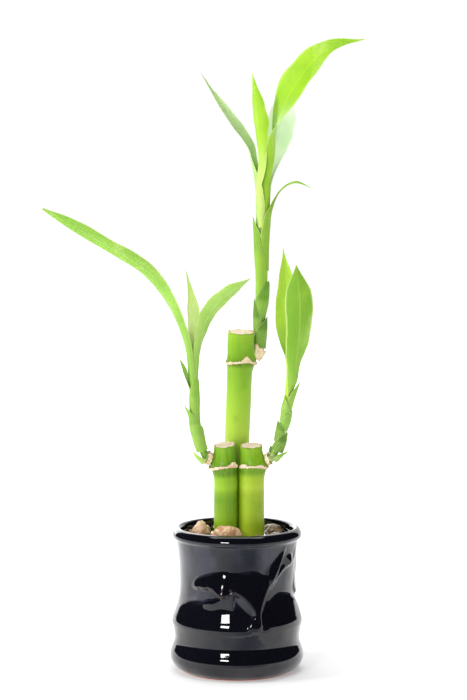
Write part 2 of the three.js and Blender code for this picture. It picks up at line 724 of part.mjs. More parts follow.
const caneHoles = Object.values(canes).map((cane) => solid(caneGeometry(cane, gap)));
const pebbleHoles = pebbles.map((pebble) => solid(pebbleGeometry(pebble, gap)));

const gravel = caneHoles.reduce((rest, hole) => rest.subtract(hole), filling(hollow[0][1] + gap, gravelTop));
addPiece('gravel_bed', geometryOf(gravel), 0x9a7d5e, 0.9);

const water = [...caneHoles, ...pebbleHoles].reduce(
  (rest, hole) => rest.subtract(hole), filling(gravelTop + gap, waterTop));
addPiece('water', geometryOf(water), 0xdfe8e4, 0.05);

export default model;
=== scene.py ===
# Lucky bamboo: three cut canes with leafy side shoots, in pebbles and water in a glazed pot.
import random
from math import cos, dist, exp, hypot, pi, radians, sin, sqrt
import bmesh
import bpy
import numpy as np
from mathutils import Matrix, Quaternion, Vector, noise


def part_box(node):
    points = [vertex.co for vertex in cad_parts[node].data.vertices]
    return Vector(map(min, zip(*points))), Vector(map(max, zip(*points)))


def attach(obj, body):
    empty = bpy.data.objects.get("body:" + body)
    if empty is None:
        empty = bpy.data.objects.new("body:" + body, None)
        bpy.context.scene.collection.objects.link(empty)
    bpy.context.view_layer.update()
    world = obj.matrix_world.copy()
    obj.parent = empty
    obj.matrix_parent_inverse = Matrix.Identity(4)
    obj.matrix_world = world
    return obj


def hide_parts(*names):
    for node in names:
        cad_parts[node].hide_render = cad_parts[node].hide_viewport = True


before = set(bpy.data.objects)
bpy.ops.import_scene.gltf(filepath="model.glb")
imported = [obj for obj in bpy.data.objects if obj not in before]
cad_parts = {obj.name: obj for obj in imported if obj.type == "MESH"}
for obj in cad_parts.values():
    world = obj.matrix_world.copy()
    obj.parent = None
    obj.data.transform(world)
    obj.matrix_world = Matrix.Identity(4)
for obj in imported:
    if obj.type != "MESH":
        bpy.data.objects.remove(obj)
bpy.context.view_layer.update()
scene = bpy.context.scene
print("frame loaded,", len(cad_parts), "nodes")

mm = 0.001  # shapes are worked out in millimetres and built in metres
rng = random.Random(7)
noRoom = ((0, 0, 0), (0, 0, 0))


# Shader maths: a Flow is one socket of a material, and expressions on it add nodes

def toColour(tone):  # hex text as linear colour, anything else as it is
    if not isinstance(tone, str):
        return tone
    channels = [int(tone[i:i + 2], 16) / 255 for i in (0, 2, 4)]
    return (*[c / 12.92 if c <= 0.04045 else ((c + 0.055) / 1.055) ** 2.4 for c in channels], 1)


class Flow:
    def __init__(self, tree, socket=None):
        self.tree = tree
        self.socket = socket

    def add(self, kind, settings=None, values=None, output=0):
        node = self.tree.nodes.new("ShaderNode" + kind)
        for name, value in (settings or {}).items():
            setattr(node, name, value)
        for name, value in (values or {}).items():
            if isinstance(value, Flow):
                self.tree.links.new(value.socket, node.inputs[name])
            else:
                node.inputs[name].default_value = toColour(value)
        return Flow(self.tree, node.outputs[output] if node.outputs else None)

    def maths(self, operation, *values):
        return self.add("Math", {"operation": operation}, dict(enumerate(values)))

    def __add__(self, other):
        return self.maths("ADD", self, other)

    def __sub__(self, other):
        return self.maths("SUBTRACT", self, other)

    def __rsub__(self, other):
        return self.maths("SUBTRACT", other, self)

    def __mul__(self, other):
        return self.maths("MULTIPLY", self, other)

    def __truediv__(self, other):
        return self.maths("DIVIDE", self, other)

    def __pow__(self, other):
        return self.maths("POWER", self, other)

    __radd__ = __add__
    __rmul__ = __mul__

    def size(self):
        return self.maths("ABSOLUTE", self)

    def waves(self):  # stripes from 0 to 1
        return self.maths("SINE", self) * 0.5 + 0.5

    def ease(self, low, high):  # 0 at low to 1 at high, smoothly
        return self.add("MapRange", {"interpolation_type": "SMOOTHSTEP"},
                        {"Value": self, "From Min": low, "From Max": high})

    def tint(self, low, high):  # from colour low to colour high, with this as the share
        return self.add("Mix", {"data_type": "RGBA"}, {0: self, 6: low, 7: high}, 2)

    def under(self, *layers):  # this colour under others, each with the share that it covers
        colour = self
        for share, tone in layers:
            colour = share.tint(colour, tone)
        return colour

    def ramp(self, stops):
        found = self.add("ValToRGB", None, {"Fac": self})
        elements = found.socket.node.color_ramp.elements
        while len(elements) < len(stops):
            elements.new(0.5)
        for element, (place, tone) in zip(elements, stops):
            element.position = place
            element.color = toColour(tone)
        return found

    def bump(self, strength, depth):
        return self.add("Bump", None, {"Height": self, "Strength": strength, "Distance": depth})

    def part(self, index):  # one component of a vector
        return self.add("SeparateXYZ", None, {"Vector": self}, index)

    def stretched(self, x, y, z):
        return self.add("VectorMath", {"operation": "MULTIPLY"}, {0: self, 1: (x, y, z)})

    def grain(self, scale, detail=3, roughness=0.5):
        return self.add("TexNoise", None, {"Vector": self, "Scale": scale, "Detail": detail,
                                           "Roughness": roughness})

    def cells(self, scale):
        return self.add("TexVoronoi", None, {"Vector": self, "Scale": scale})

    def attribute(self, name):
        return self.add("Attribute", {"attribute_name": name}, None, "Fac")


def makeMaterial(name, paint, *settings):  # paint gives the surface's values from a place on it
    made = bpy.data.materials.new(name)
    made.use_nodes = True
    made.node_tree.nodes.clear()
    place = Flow(made.node_tree).add("TexCoord", None, None, "Object")
    surface = place.add("BsdfPrincipled", None, paint(place, *settings))
    place.add("OutputMaterial", None, {"Surface": surface})
    return made


# Mesh helpers

def gridFaces(rows, cols, wrap=True):
    faces = []
    for i in range(rows - 1):
        for j in range(cols if wrap else cols - 1):
            k = (j + 1) % cols
            faces.append((i * cols + j, i * cols + k, (i + 1) * cols + k, (i + 1) * cols + j))
    return faces


def endCaps(count, around):  # the faces that close both ends of a tube of count points
    return [tuple(range(around)), tuple(range(count - 1, count - around - 1, -1))]


def turned(profile, around):
    turns = [2 * pi * j / around for j in range(around)]
    points = [(r * cos(t), r * sin(t), h) for r, h in profile for t in turns]
    return points, gridFaces(len(profile), around) + endCaps(len(points), around)


def meshObject(name, points, faces, materials):
    mesh = bpy.data.meshes.new(name)
    mesh.from_pydata(points, [], faces)
    for made in materials:
        mesh.materials.append(made)
    piece = bpy.data.objects.new(name, mesh)
    scene.collection.objects.link(piece)
    return piece


def makePiece(name, points, faces, materials, slot, attributes=None, zones=None, fit="stretch",
              sharp=None, room=noRoom):
    points = np.asarray(points, float) * mm
    low, high = (np.array(corner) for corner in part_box(name))
    low, high = low - np.array(room[0]) * mm, high + np.array(room[1]) * mm
    if fit == "stretch":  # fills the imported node's box, with some room added
        share = (points - points.min(0)) / np.maximum(np.ptp(points, 0), 1e-6)
        points = low + share * (high - low)
    elif fit == "centre":
        points = points + (low + high) / 2 - (points.min(0) + points.max(0)) / 2
    piece = meshObject(name, points.tolist(), faces, materials)
    mesh = piece.data
    for key, values in (attributes or {}).items():
        layer = mesh.attributes.new(key, "FLOAT", "POINT")
        layer.data.foreach_set("value", np.asarray(values, np.float32))
    if zones is not None:
        mesh.polygons.foreach_set("material_index", zones)
    tidy = bmesh.new()
    tidy.from_mesh(mesh)
    bmesh.ops.recalc_face_normals(tidy, faces=tidy.faces)
    tidy.to_mesh(mesh)
    tidy.free()
    mesh.shade_smooth()
    if sharp:
        mesh.set_sharp_from_angle(angle=radians(sharp))
    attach(piece, "root")
    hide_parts(name)


def smoothLine(points, fineness=60):  # a centripetal spline through points
    p = np.array(points, float)
    ends = np.vstack([2 * p[0] - p[1], p, 2 * p[-1] - p[-2]])
    pieces = []
    t = np.linspace(0, 1, fineness, endpoint=False)[:, None]
    for a, b, c, d in zip(ends, ends[1:], ends[2:], ends[3:]):
        first, middle, last = (np.linalg.norm(v - u) ** 0.5 for u, v in ((a, b), (b, c), (c, d)))
        start = ((b - a) / first - (c - a) / (first + middle) + (c - b) / middle) * middle
        stop = ((c - b) / middle - (d - b) / (middle + last) + (d - c) / last) * middle
        pieces.append(b + start * t + (3 * (c - b) - 2 * start - stop) * t ** 2
                      + (2 * (b - c) + start + stop) * t ** 3)
    return np.vstack([*pieces, p[-1:]])


def lengthsAlong(line):
    return np.concatenate([[0], np.cumsum(np.linalg.norm(np.diff(line, axis=0), axis=1))])


def pick(line, lengths, wanted):
    return np.stack([np.interp(wanted, lengths, line[:, k]) for k in range(3)], -1)


def between(pair, share):
    return pair[0] + (pair[1] - pair[0]) * share


def ease(x, low, high):
    t = np.clip((x - low) / (high - low), 0, 1)
    return t * t * (3 - 2 * t)


def compass(degrees):
    return np.array([cos(radians(degrees)), sin(radians(degrees)), 0.0])


def facing(degrees, side):  # how far a direction faces a side, from 0 to 1
    return np.maximum(np.cos(np.radians(degrees - side)), 0) ** 2


def unit(v):
    return v / np.linalg.norm(v)


# Pot: a turned wall with a raised sprig of leaves, under a thick black glaze. The stretch
# around it that carries the sprig has finer steps, and slump makes the wall a little uneven.
pot = dict(outside=[(26, 0), (27.8, 0.8), (30.4, 2.8), (32, 5.6), (32.3, 8), (31.9, 10.2),
                    (31.15, 12.3), (30.45, 14.4), (30.2, 16.6), (30.5, 19.4), (31.1, 22.4),
                    (31.5, 24.2), (31, 26.4), (30.2, 28.6), (29.3, 31.2), (28.5, 34), (27.8, 38),
                    (27.6, 42), (27.8, 48), (28.1, 54), (28.6, 59), (29.1, 62), (29.8, 64),
                    (30.8, 65), (31.3, 66), (31.1, 67.2), (30.5, 68.5), (29.7, 69.4)],
           rim=[(28.7, 69.8), (27.8, 69.5), (27.1, 68.7), (26.8, 67.4)],
           inside=[(26.5, 64), (25, 56), (23.4, 46), (23.3, 38), (24.8, 31), (26.2, 24), (25.6, 16),
                   (25.8, 9), (23.5, 6)],
           front=(-60, 95, 290), rest=110, rows=170, meanRadius=28, slump=0.12)

# Each raised shape lies between a thin edge, flush with the wall, and a brink where it stands
# highest, both as degrees around from the front and height. A mound rises to a cone instead,
# and soft says how gently it falls away at its two edges.
sprig = [
    dict(thin=[(-6, 41), (-20, 45), (-18, 51), (-6, 52.6), (3, 52.8), (8, 54.4), (16, 54.8),
               (22, 53.2), (27, 51), (34, 51)],
         brink=[(-6, 41), (-2.6, 41), (4, 39), (11, 35), (14, 31.6), (10.5, 28.5), (9, 24.6),
                (22, 24.4), (24.6, 33), (33, 43), (40, 47.6), (34, 51)],
         cone=(32, 25, 0.138), soft=(2.5, 1.2)),
    dict(thin=[(25.5, 24.5), (28, 33), (44, 41.6), (57, 41), (76, 38)],
         brink=[(25.5, 24.5), (42, 24.6), (58, 24.7), (74, 24.9), (84, 25.6), (84, 31), (76, 38)],
         cone=(31.9, 24.6, 0.25), soft=(2.5, 1)),
    dict(thin=[(-52.5, 44), (-49, 46.4), (-42, 49), (-29, 51.4), (-12, 52.8), (2, 53)],
         brink=[(-52.5, 44), (-47, 43.2), (-36, 43.4), (-25, 43.6), (-16, 40.6), (-6, 41), (2, 43)],
         slope=0.29, belly=0.6, fade=(-14, 0)),
    dict(thin=[(-34.8, 34.6), (-26, 33.8), (-15, 35), (-3.5, 34)],
         brink=[(-34.8, 34.6), (-33, 37), (-22, 38.2), (-4, 42.4), (-3, 38), (-3.5, 34)],
         slope=0.32),
    dict(thin=[(-2, 40.6), (3, 37), (9.2, 33.4), (15, 31)],
         brink=[(-2, 40.6), (5.4, 40), (12.4, 36), (15, 31)], slope=0.66),
    dict(thin=[(25, 50), (33, 55.4), (43, 60.6), (54, 63.8)],
         brink=[(25, 50), (35, 46.6), (42, 51.4), (48, 57.2), (54, 63.8)], slope=0.34,
         fade=(35, 25)),
    dict(thin=[(50, 54.6), (54, 58.6), (62, 59.6), (70, 58)],
         brink=[(50, 54.6), (56, 53.6), (63, 54.4), (70, 58)], slope=0.36),
    dict(thin=[(30, 44), (38, 51), (52, 55.2), (68, 57.4), (84, 64)],
         brink=[(30, 44), (34, 43), (42.5, 48), (54, 52.4), (70, 54.6), (84, 64)], slope=0.36),
    dict(thin=[(77, 46), (81, 50), (90, 48)], brink=[(77, 46), (78, 40), (84, 38), (90, 48)],
         slope=0.14),
    dict(thin=[(120, 44), (104, 40), (86, 44), (82, 54), (92, 63)],
         brink=[(120, 44), (124, 52), (112, 62), (92, 63)], slope=0.16),
    dict(thin=[(-20, 23.6), (-2, 23.4), (16, 23.6)],
         brink=[(-20, 23.6), (-14, 22.9), (-2, 22.5), (10, 22.9), (16, 23.6)], slope=0.8),
]
wallLine = smoothLine([(r, h, 0) for r, h in pot["outside"]])


def onWall(edge):  # an edge as a smooth line on the unrolled wall, in millimetres
    perDegree = radians(pot["meanRadius"])
    return smoothLine([(angle * perDegree, height, 0) for angle, height in edge], 6)[:, :2]


def awayFrom(line, x, y):
    best = np.full(x.shape, 9e9)
    for a, b in zip(line, line[1:]):
        along = b - a
        share = ((x - a[0]) * along[0] + (y - a[1]) * along[1]) / max(along @ along, 1e-9)
        share = np.clip(share, 0, 1)
        best = np.minimum(best, np.hypot(x - a[0] - share * along[0], y - a[1] - share * along[1]))
    return best


def within(ring, x, y):
    inside = np.zeros(x.shape, bool)
    for a, b in zip(ring, np.roll(ring, -1, 0)):
        rise = b[1] - a[1] or 1e-9
        inside ^= ((a[1] > y) != (b[1] > y)) & (x < a[0] + (y - a[1]) * (b[0] - a[0]) / rise)
    return inside


def sprigLift(angles, heights):
    x = angles * radians(pot["meanRadius"])
    lift = np.zeros(angles.shape)
    for shape in sprig:
        thin, brink = onWall(shape["thin"]), onWall(shape["brink"])
        inside = within(np.vstack([thin, brink[::-1]]), x, heights)
        fromThin = awayFrom(thin, x, heights)
        if "cone" in shape:
            radius, foot, slope = shape["cone"]
            wall = np.interp(heights, wallLine[:, 1], wallLine[:, 0])
            side, edge = shape["soft"]
            rise = np.maximum(radius - slope * (heights - foot) - wall, 0)
            rise = rise * ease(fromThin, 0, side) * ease(awayFrom(brink, x, heights), 0, edge)
        else:
            rise = shape["slope"] * fromThin + shape.get("belly", 0) * ease(fromThin, 1.2, 8)
            rise = rise * (1 - ease(angles, *shape.get("fade", (180, 360))))
        lift = np.maximum(lift, rise * inside)
    for _ in range(3):  # glaze softens every edge
        lift[:, 1:-1] = (lift[:, 1:-1] * 2 + lift[:, :-2] + lift[:, 2:]) / 4
        lift[1:-1] = (lift[1:-1] * 2 + lift[:-2] + lift[2:]) / 4
    return lift


def buildPot(material):
    lengths = lengthsAlong(wallLine)
    outside = pick(wallLine, lengths, np.linspace(0, lengths[-1], pot["rows"]))[:, :2]
    rest = smoothLine([(r, h, 0) for r, h in [*pot["rim"], *pot["inside"]]], 4)[:, :2]
    profile = np.vstack([outside, rest])
    start, stop, steps = pot["front"]
    degrees = np.concatenate([np.linspace(start, stop, steps, endpoint=False),
                              np.linspace(stop, start + 360, pot["rest"], endpoint=False)])
    around, rows = len(degrees), len(outside)
    turn = np.radians(degrees)
    radius = np.repeat(profile[:, :1], around, 1)
    height = np.repeat(profile[:, 1:], around, 1)
    degrees = np.repeat(degrees[None], len(profile), 0)
    lift = np.zeros(radius.shape)
    lift[:rows] = sprigLift(degrees[:rows], height[:rows])
    slump = np.array([[noise.noise((sin(t) * 1.3, cos(t) * 1.3, h * 0.06))
                       for t in turn] for h in profile[:, 1]])
    slump = slump * ease(height, 2, 8) * (1 - ease(height, 60, 66))
    radius = radius + lift + pot["slump"] * slump
    points = np.stack([radius * np.sin(turn), -radius * np.cos(turn), height], -1).reshape(-1, 3)
    faces = gridFaces(len(profile), around)
    count, last = len(points), len(points) - around
    points = np.vstack([points, [[0, 0, 0], [0, 0, profile[-1][1]]]])
    for j in range(around):
        k = (j + 1) % around
        faces += [(count, k, j), (count + 1, last + j, last + k)]
    steep = np.hypot(np.gradient(lift, axis=0), np.gradient(lift, axis=1))
    makePiece("pot", points, faces, [material], "glaze", fit=None, attributes={
        "lift": np.append(lift, [0, 0]), "steep": np.append(steep, [0, 0])})


def glazePaint(place):
    height = place.part(2)
    bare = 1 - (height + (place.grain(260) - 0.5) * 0.0011).ease(0.0004, 0.0011)
    thin = place.attribute("steep").ease(0.3, 0.6) * place.grain(300).ease(0.4, 0.65)
    # The bloom mask is partly mottled bluish-grey cloud in the glaze and partly painted reflection.
    # It is kept to the waist band, where the glaze mirrors the grey floor, and kept off the raised
    # sprig.
    waist = height.ease(0.034, 0.04) * (1 - height.ease(0.063, 0.067))
    mottleAndPaintedSheen = place.stretched(1, 1, 0.6).grain(75, 5, 0.6).ease(0.38, 0.7) * waist
    mottleAndPaintedSheen = mottleAndPaintedSheen * (1 - place.attribute("lift").ease(0.1, 0.5))
    glaze = place.grain(55, 4).tint("07070b", "10101a").under(
        (mottleAndPaintedSheen * 0.7, "343746"), (thin * 0.7, "5a2616"))
    shine = 0.035 + place.grain(90, 4).ease(0.45, 0.9) * 0.09
    cloud = place.stretched(1, 1, 0.7).grain(70, 5, 0.6).ease(0.35, 0.65)
    swell = place.grain(48, 2) * 0.8 + place.grain(210, 2) * 0.08
    return {"Base Color": bare.tint(glaze, place.grain(700, 5).tint("8f4a2b", "c27a50")),
            "Roughness": bare * 0.75 + (1 - bare) * shine, "IOR": 1.48,
            "Coat Weight": (1 - bare) * (0.25 + cloud * 0.6),
            "Coat Roughness": 0.03, "Coat IOR": 1.36,
            "Normal": (swell + bare * place.grain(900, 4) * 0.3).bump(0.35, 0.0006)}


buildPot(makeMaterial("blackGlaze", glazePaint))
print("pot built")


# Canes: round green stems, swollen at the joint on the side where the shoot grows. Tones go
# up the skin by the distance from the joint.
canes = dict(
    tall=dict(foot=(-3.6, 11.2), lean=(0.036, 0), joint=148.9, top=163.2, oldJoint=86, shootSide=16,
              against=[], radius=6.05, endRadius=6.4, endShift=(0.1, 0), slope=(-0.4, 1.4),
              room=((0.3, 0.2, 0), (0.4, 0.2, 0)),
              tones=[(-60, "bcd64e"), (-36, "b4d448"), (-24, "a6cc3e"), (-12, "90be30"),
                     (-6, "82b12a"), (-3.4, "84b02a"), (-1.6, "587f1b"), (0.6, "6f9a22"),
                     (3, "78aa24"), (9, "84b428"), (14, "98c038")]),
    left=dict(foot=(-5.6, -1), lean=(0.003, 0), joint=99.8, top=109.9, shootSide=185,
              against=[0, 68], radius=5.9, endRadius=5.35, endShift=(-0.7, 0), slope=(1.2, 1.9),
              room=((0, 0.2, 0), (0, 0.2, 0)),
              tones=[(-60, "9cc62c"), (-36, "92be28"), (-24, "88b422"), (-16, "6f9f1c"),
                     (-13, "7cab22"), (-10.5, "9cc62e"), (-6, "8ab826"), (-3.6, "588519"),
                     (-0.4, "608e22"), (2.5, "6a9c1e"), (9, "7dae26")]),
    right=dict(foot=(6.8, -1), lean=(0.002, 0), joint=100.1, top=109.5, shootSide=350,
               against=[180, 121], radius=6.05, endRadius=5.4, endShift=(-0.3, 0), slope=(0.2, 1.7),
               room=((0.1, 0.2, 0), (0.6, 0.2, 0)),
               tones=[(-60, "b4d432"), (-36, "aeca2e"), (-22, "a8c62a"), (-14, "a2be2a"),
                      (-10.5, "b8d23e"), (-6, "a6c62e"), (-3.6, "719e20"), (-0.4, "76a222"),
                      (2.5, "76a81e"), (9, "8cb828")]),
)
caneForm = dict(foot=10, around=128, end=6, ring=(0.45, 3), scar=(-0.14, 0.5), shoot=(1.4, 4.2),
                old=(0.45, 2.4), oldScar=(-0.2, 0.45))


def bulge(pair, distance):
    return pair[0] * np.exp(-((distance / pair[1]) ** 2))


def caneCentre(cane, height):
    rise = height - caneForm["foot"]
    end = ease(height, cane["joint"], cane["joint"] + caneForm["end"])
    return np.stack([cane["foot"][k] + cane["lean"][k] * rise + cane["endShift"][k] * end
                     for k in (0, 1)], -1)


def jointSwelling(cane, angle, height):
    closeness = [np.cos(np.radians(angle - side)) for side in cane["against"]]
    free = 1 - ease(np.max([*closeness, -np.ones(np.shape(angle))], 0), 0.2, 0.7)
    above = height - cane["joint"]
    stood = (bulge(caneForm["ring"], above + 0.5) + bulge(caneForm["scar"], above + 2.6)) * free
    stood = stood + bulge(caneForm["shoot"], above - 0.5) * facing(angle, cane["shootSide"])
    if "oldJoint" in cane:
        for form in ("old", "oldScar"):
            stood = stood + bulge(caneForm[form], height - cane["oldJoint"])
    return stood


def buildCane(name, cane, materials):
    foot, joint, top = caneForm["foot"], cane["joint"], cane["top"]
    full, cut = cane["radius"], cane["endRadius"]
    sides = np.concatenate([np.arange(foot + 1, joint - 10, 1.6),
                            np.arange(joint - 10, top - 0.5, 0.35)])
    radii = full + (cut - full) * np.clip((sides - joint) / caneForm["end"], 0, 1)
    shoulder = [(cut, top - 0.45), (cut - 0.08, top - 0.16), (cut - 0.25, top)]
    face = [(cut * share, top) for share in np.linspace(0.93, 0.04, 16)]
    profile = np.array([(0.5, foot), (full - 1, foot), (full - 0.3, foot + 0.3),
                        *zip(radii, sides), *shoulder, *face])
    onFace = np.arange(len(profile)) >= len(profile) - len(face) - 1
    angle = np.linspace(0, 360, caneForm["around"], endpoint=False)
    radius, height = profile[:, :1] + 0 * angle, profile[:, 1:] + 0 * angle
    around = angle + 0 * radius
    seed = len(name) * 3.7

    def circling(size, level):  # places in the noise that close on themselves around the cane
        return [Vector((*(compass(a)[:2] * size + (seed, 0)), level)) for a in angle]

    grown = radius * (1 + jointSwelling(cane, around, height) / full * np.minimum(radius / full, 1))
    uneven = np.array([[noise.noise(spot) for spot in circling(1.6, h * 0.09)]
                       for h in profile[:, 1]])
    grown = grown + 0.1 * uneven * (radius > full * 0.8)
    x, y = grown * np.cos(np.radians(around)), grown * np.sin(np.radians(around))
    tilt = (cane["slope"][0] * x + cane["slope"][1] * y) / (2 * full)
    rough = np.array([[noise.fractal((px * 0.9 + seed, py * 0.9, 0), 1.0, 2.0, 4)
                       for px, py in zip(rowX, rowY)] if flag else [0] * len(angle)
                      for rowX, rowY, flag in zip(x, y, onFace)])
    share = np.clip(radius / cut, 0, 1)
    crater = -0.25 * (1 - share ** 4) + 0.16 * rough
    ragged = [0.45 * noise.fractal(spot, 1.0, 2.0, 3) for spot in circling(2.4, 0)]
    z = height + np.where(height > top - 0.6, tilt + share * np.array(ragged), 0)
    z = z + np.where(onFace[:, None], crater, 0)
    centre = caneCentre(cane, height)
    points = np.stack([centre[..., 0] + x, centre[..., 1] + y, z], -1).reshape(-1, 3)
    zones = [int(onFace[i]) for i in range(len(profile) - 1) for _ in angle] + [0, 1]
    faces = gridFaces(len(profile), len(angle)) + endCaps(len(points), len(angle))
    makePiece(name + "_cane", points, faces, materials, "cane", zones=zones, room=cane["room"],
              attributes={"fromJoint": (height - joint).reshape(-1), "reach": share.reshape(-1)})


def skinPaint(place, tones):
    low, high = tones[0][0], tones[-1][0]
    drift = (place.grain(70, 3) - 0.5) * 5 + (place.stretched(1, 1, 0.2).grain(300, 2) - 0.5) * 2
    height = place.attribute("fromJoint") + drift * 0.4
    streak = place.stretched(1, 1, 0.06).grain(900, 3)
    fleck = 1 - place.stretched(1, 1, 0.5).cells(420).ease(0.06, 0.13)
    scratch = place.stretched(0.25, 0.25, 1).grain(2600, 2).ease(0.66, 0.76)
    span = high - low
    colour = ((height - low) / span).ramp([((h - low) / span, tone) for h, tone in tones])
    colour = colour.under((streak.ease(0.35, 0.75) * 0.3, "a8cc34"),
                          (place.grain(140, 4).ease(0.5, 0.8) * 0.35, "6a9a1e"),
                          (fleck * place.grain(35).ease(0.5, 0.6) * 0.6, "4d6f1c"),
                          (scratch * place.grain(60).ease(0.5, 0.7) * 0.35, "d8e68a"))
    bump = streak * 0.5 + place.grain(150, 3) * 0.6 - scratch * 0.1
    return {"Base Color": colour, "Roughness": 0.26 + place.grain(120, 3) * 0.16,
            "Subsurface Weight": 0.12, "Subsurface Radius": (0.8, 1, 0.25),
            "Subsurface Scale": 0.0012, "Specular IOR Level": 0.22, "Coat Weight": 0.1,
            "Coat Roughness": 0.12, "Normal": bump.bump(0.3, 0.00025)}


def cutPaint(place):
    reach = place.attribute("reach") + (place.grain(600, 4) - 0.5) * 0.16
    fibres = place.cells(2400).ease(0.1, 0.6)
    margin = (reach + (place.grain(420, 3) - 0.5) * 0.3).ease(0.8, 0.98)
    colour = fibres.tint("f2cfa4", "fff2dc").under(
        (place.grain(500, 4).ease(0.4, 0.7) * 0.5, "fbd3b2"), (margin * 0.9, "d98d48"),
        (reach.ease(0.985, 1.04) * 0.8, "6f7a2c"))
    bump = fibres * 0.5 + place.grain(1100, 5)
    return {"Base Color": colour, "Roughness": 0.82, "Normal": bump.bump(0.7, 0.0003)}


caneCut = makeMaterial("caneCut", cutPaint)
for caneName, cane in canes.items():
    skin = makeMaterial(caneName + "CaneSkin", skinPaint, cane["tones"])
    buildCane(caneName, cane, [skin, caneCut])
print("canes built")


# Husk rings: torn paper-thin collars around the joints. Each covers a span of directions, with
# flaps of some height at others.
huskForm = dict(drop=1.2, height=1.3, wave=0.3, torn=0.55, thick=0.4, flare=0.15, away=0.8,
                flapReach=22, steps=220, rows=7)
huskCuts = dict(
    tall=dict(span=(0, 360), sag=0.5, flaps=[(295, 2.2), (245, -0.4)], seed=3),
    left=dict(span=(110, 322), sag=0.5, flaps=[(300, 1.6)], seed=11),
    right=dict(span=(218, 432), sag=0.3, flaps=[(240, 0.7)], seed=23),
)


def buildCollar(node, sections, material, sharp, closed=True, room=noRoom):
    points = [point for inner, outer in sections for point in [*inner, *outer[::-1]]]
    rows = len(sections[0][0])
    around = rows * 2
    ends = [abs(2 * j / (rows - 1) - 1) for j in range(rows)] * 2 * len(sections)
    last = len(points) - around
    faces = gridFaces(len(sections), around)
    faces += [(last + j, last + (j + 1) % around, (j + 1) % around, j)
              for j in range(around)] if closed else endCaps(len(points), around)
    makePiece(node, points, faces, [material], "husk", attributes={"edge": ends}, sharp=sharp,
              room=room)


def buildHuskRing(name, cut, material):
    cane, form = canes[name], huskForm
    closed = cut["span"][1] - cut["span"][0] == 360
    centre = caneCentre(cane, np.array(cane["joint"]))
    sections = []
    for i in range(form["steps"] + (0 if closed else 1)):
        angle = between(cut["span"], i / form["steps"])
        out = compass(angle)
        towards = facing(angle, cane["shootSide"])
        flap = sum(h * max(1 - abs(angle - side) / form["flapReach"], 0)
                   for side, h in cut["flaps"])
        spot = Vector((out[0] * 4 + cut["seed"], out[1] * 4, 0))
        low = (cane["joint"] - form["drop"] - 0.8 * towards + 0.35 * noise.noise(spot * 2.7)
               - cut["sag"] * sin(radians(angle * 2 + 40)))
        high = low + form["height"] + form["wave"] * sin(radians(angle * 5)) + flap
        high += form["torn"] * noise.fractal(spot * 2.2, 1.0, 2.0, 4)
        inside = cane["radius"] + form["away"] + caneForm["shoot"][0] * towards
        inner, outer = [], []
        for j in range(form["rows"]):
            share = j / (form["rows"] - 1)
            crease = 0.22 * noise.noise(spot * 3 + Vector((0, 0, share * 2)))
            curl = 0.35 * max(flap, 0) * share ** 2
            radius = inside + form["flare"] * share + crease + curl
            thick = form["thick"] * (1 - 0.55 * abs(2 * share - 1) ** 3)
            level = low + (high - low) * share
            for side, reach in ((inner, radius), (outer, radius + thick)):
                side.append([*(centre + out[:2] * reach), level])
        sections.append((inner, outer))
    buildCollar(name + "_cane_husk", sections, material, sharp=60, closed=closed)


def huskPaint(place):
    fibre = place.stretched(1, 1, 0.3).grain(1500, 4)
    colour = fibre.ease(0.3, 0.7).tint("efcb9e", "fff1da").under(
        (place.grain(330, 4).ease(0.5, 0.75) * 0.55, "dc9a62"),
        (place.attribute("edge").ease(0.6, 1) * 0.35, "c98e5c"))
    return {"Base Color": colour, "Roughness": 0.78, "Subsurface Weight": 0.3,
            "Subsurface Radius": (1, 0.6, 0.4), "Subsurface Scale": 0.0006,
            "Normal": (fibre + place.grain(700, 4)).bump(0.5, 0.0002)}


dryHusk = makeMaterial("dryHusk", huskPaint)
for caneName, cut in huskCuts.items():
    buildHuskRing(caneName, cut, dryHusk)
print("husk rings built")


# Shoots: a stem wrapped in nested sheaths whose blades leave it one after another
shoots = dict(
    tall=dict(axis=[(9.8, 13.4, 149.6), (10.7, 13.8, 151.5), (10.8, 14.5, 158), (10.9, 14.4, 167),
                    (12, 13.8, 178), (12.6, 13, 190), (12.3, 12.4, 204), (12.7, 12, 222)],
              axisEnd=(13.2, 11.6, 246), stem=(2.2, 0.65), girth=1.04,
              room=((1.2, 0.3, 2), (0.2, 0.3, 0))),
    left=dict(axis=[(-12, -1.8, 101.6), (-14.3, -2, 102.8), (-16.9, -2.6, 107.5),
                    (-18.6, -3.2, 114), (-19.8, -3.8, 121), (-20.3, -4, 128), (-20.4, -4, 133)],
              axisEnd=(-20.9, -4, 156), stem=(2, 0.45), girth=1.12,
              room=((0.2, 0.3, 1.6), (2, 0.3, 0))),
    right=dict(axis=[(13.8, -2.2, 101.2), (16, -2.4, 102.4), (19, -3, 107.5), (20.8, -3.6, 115),
                     (22.4, -4, 121), (24, -4.2, 129.5)],
               axisEnd=(28, -4.6, 150), stem=(2, 0.6), girth=1.14,
               room=((2, 0.3, 1.6), (0.2, 0.3, 0))),
)


def newLeaf(node, side, sheath, grip, wrap, path, look, **shape):
    return dict(node=node, side=side, sheath=sheath, grip=grip, wrap=wrap, path=path, look=look,
                **shape)


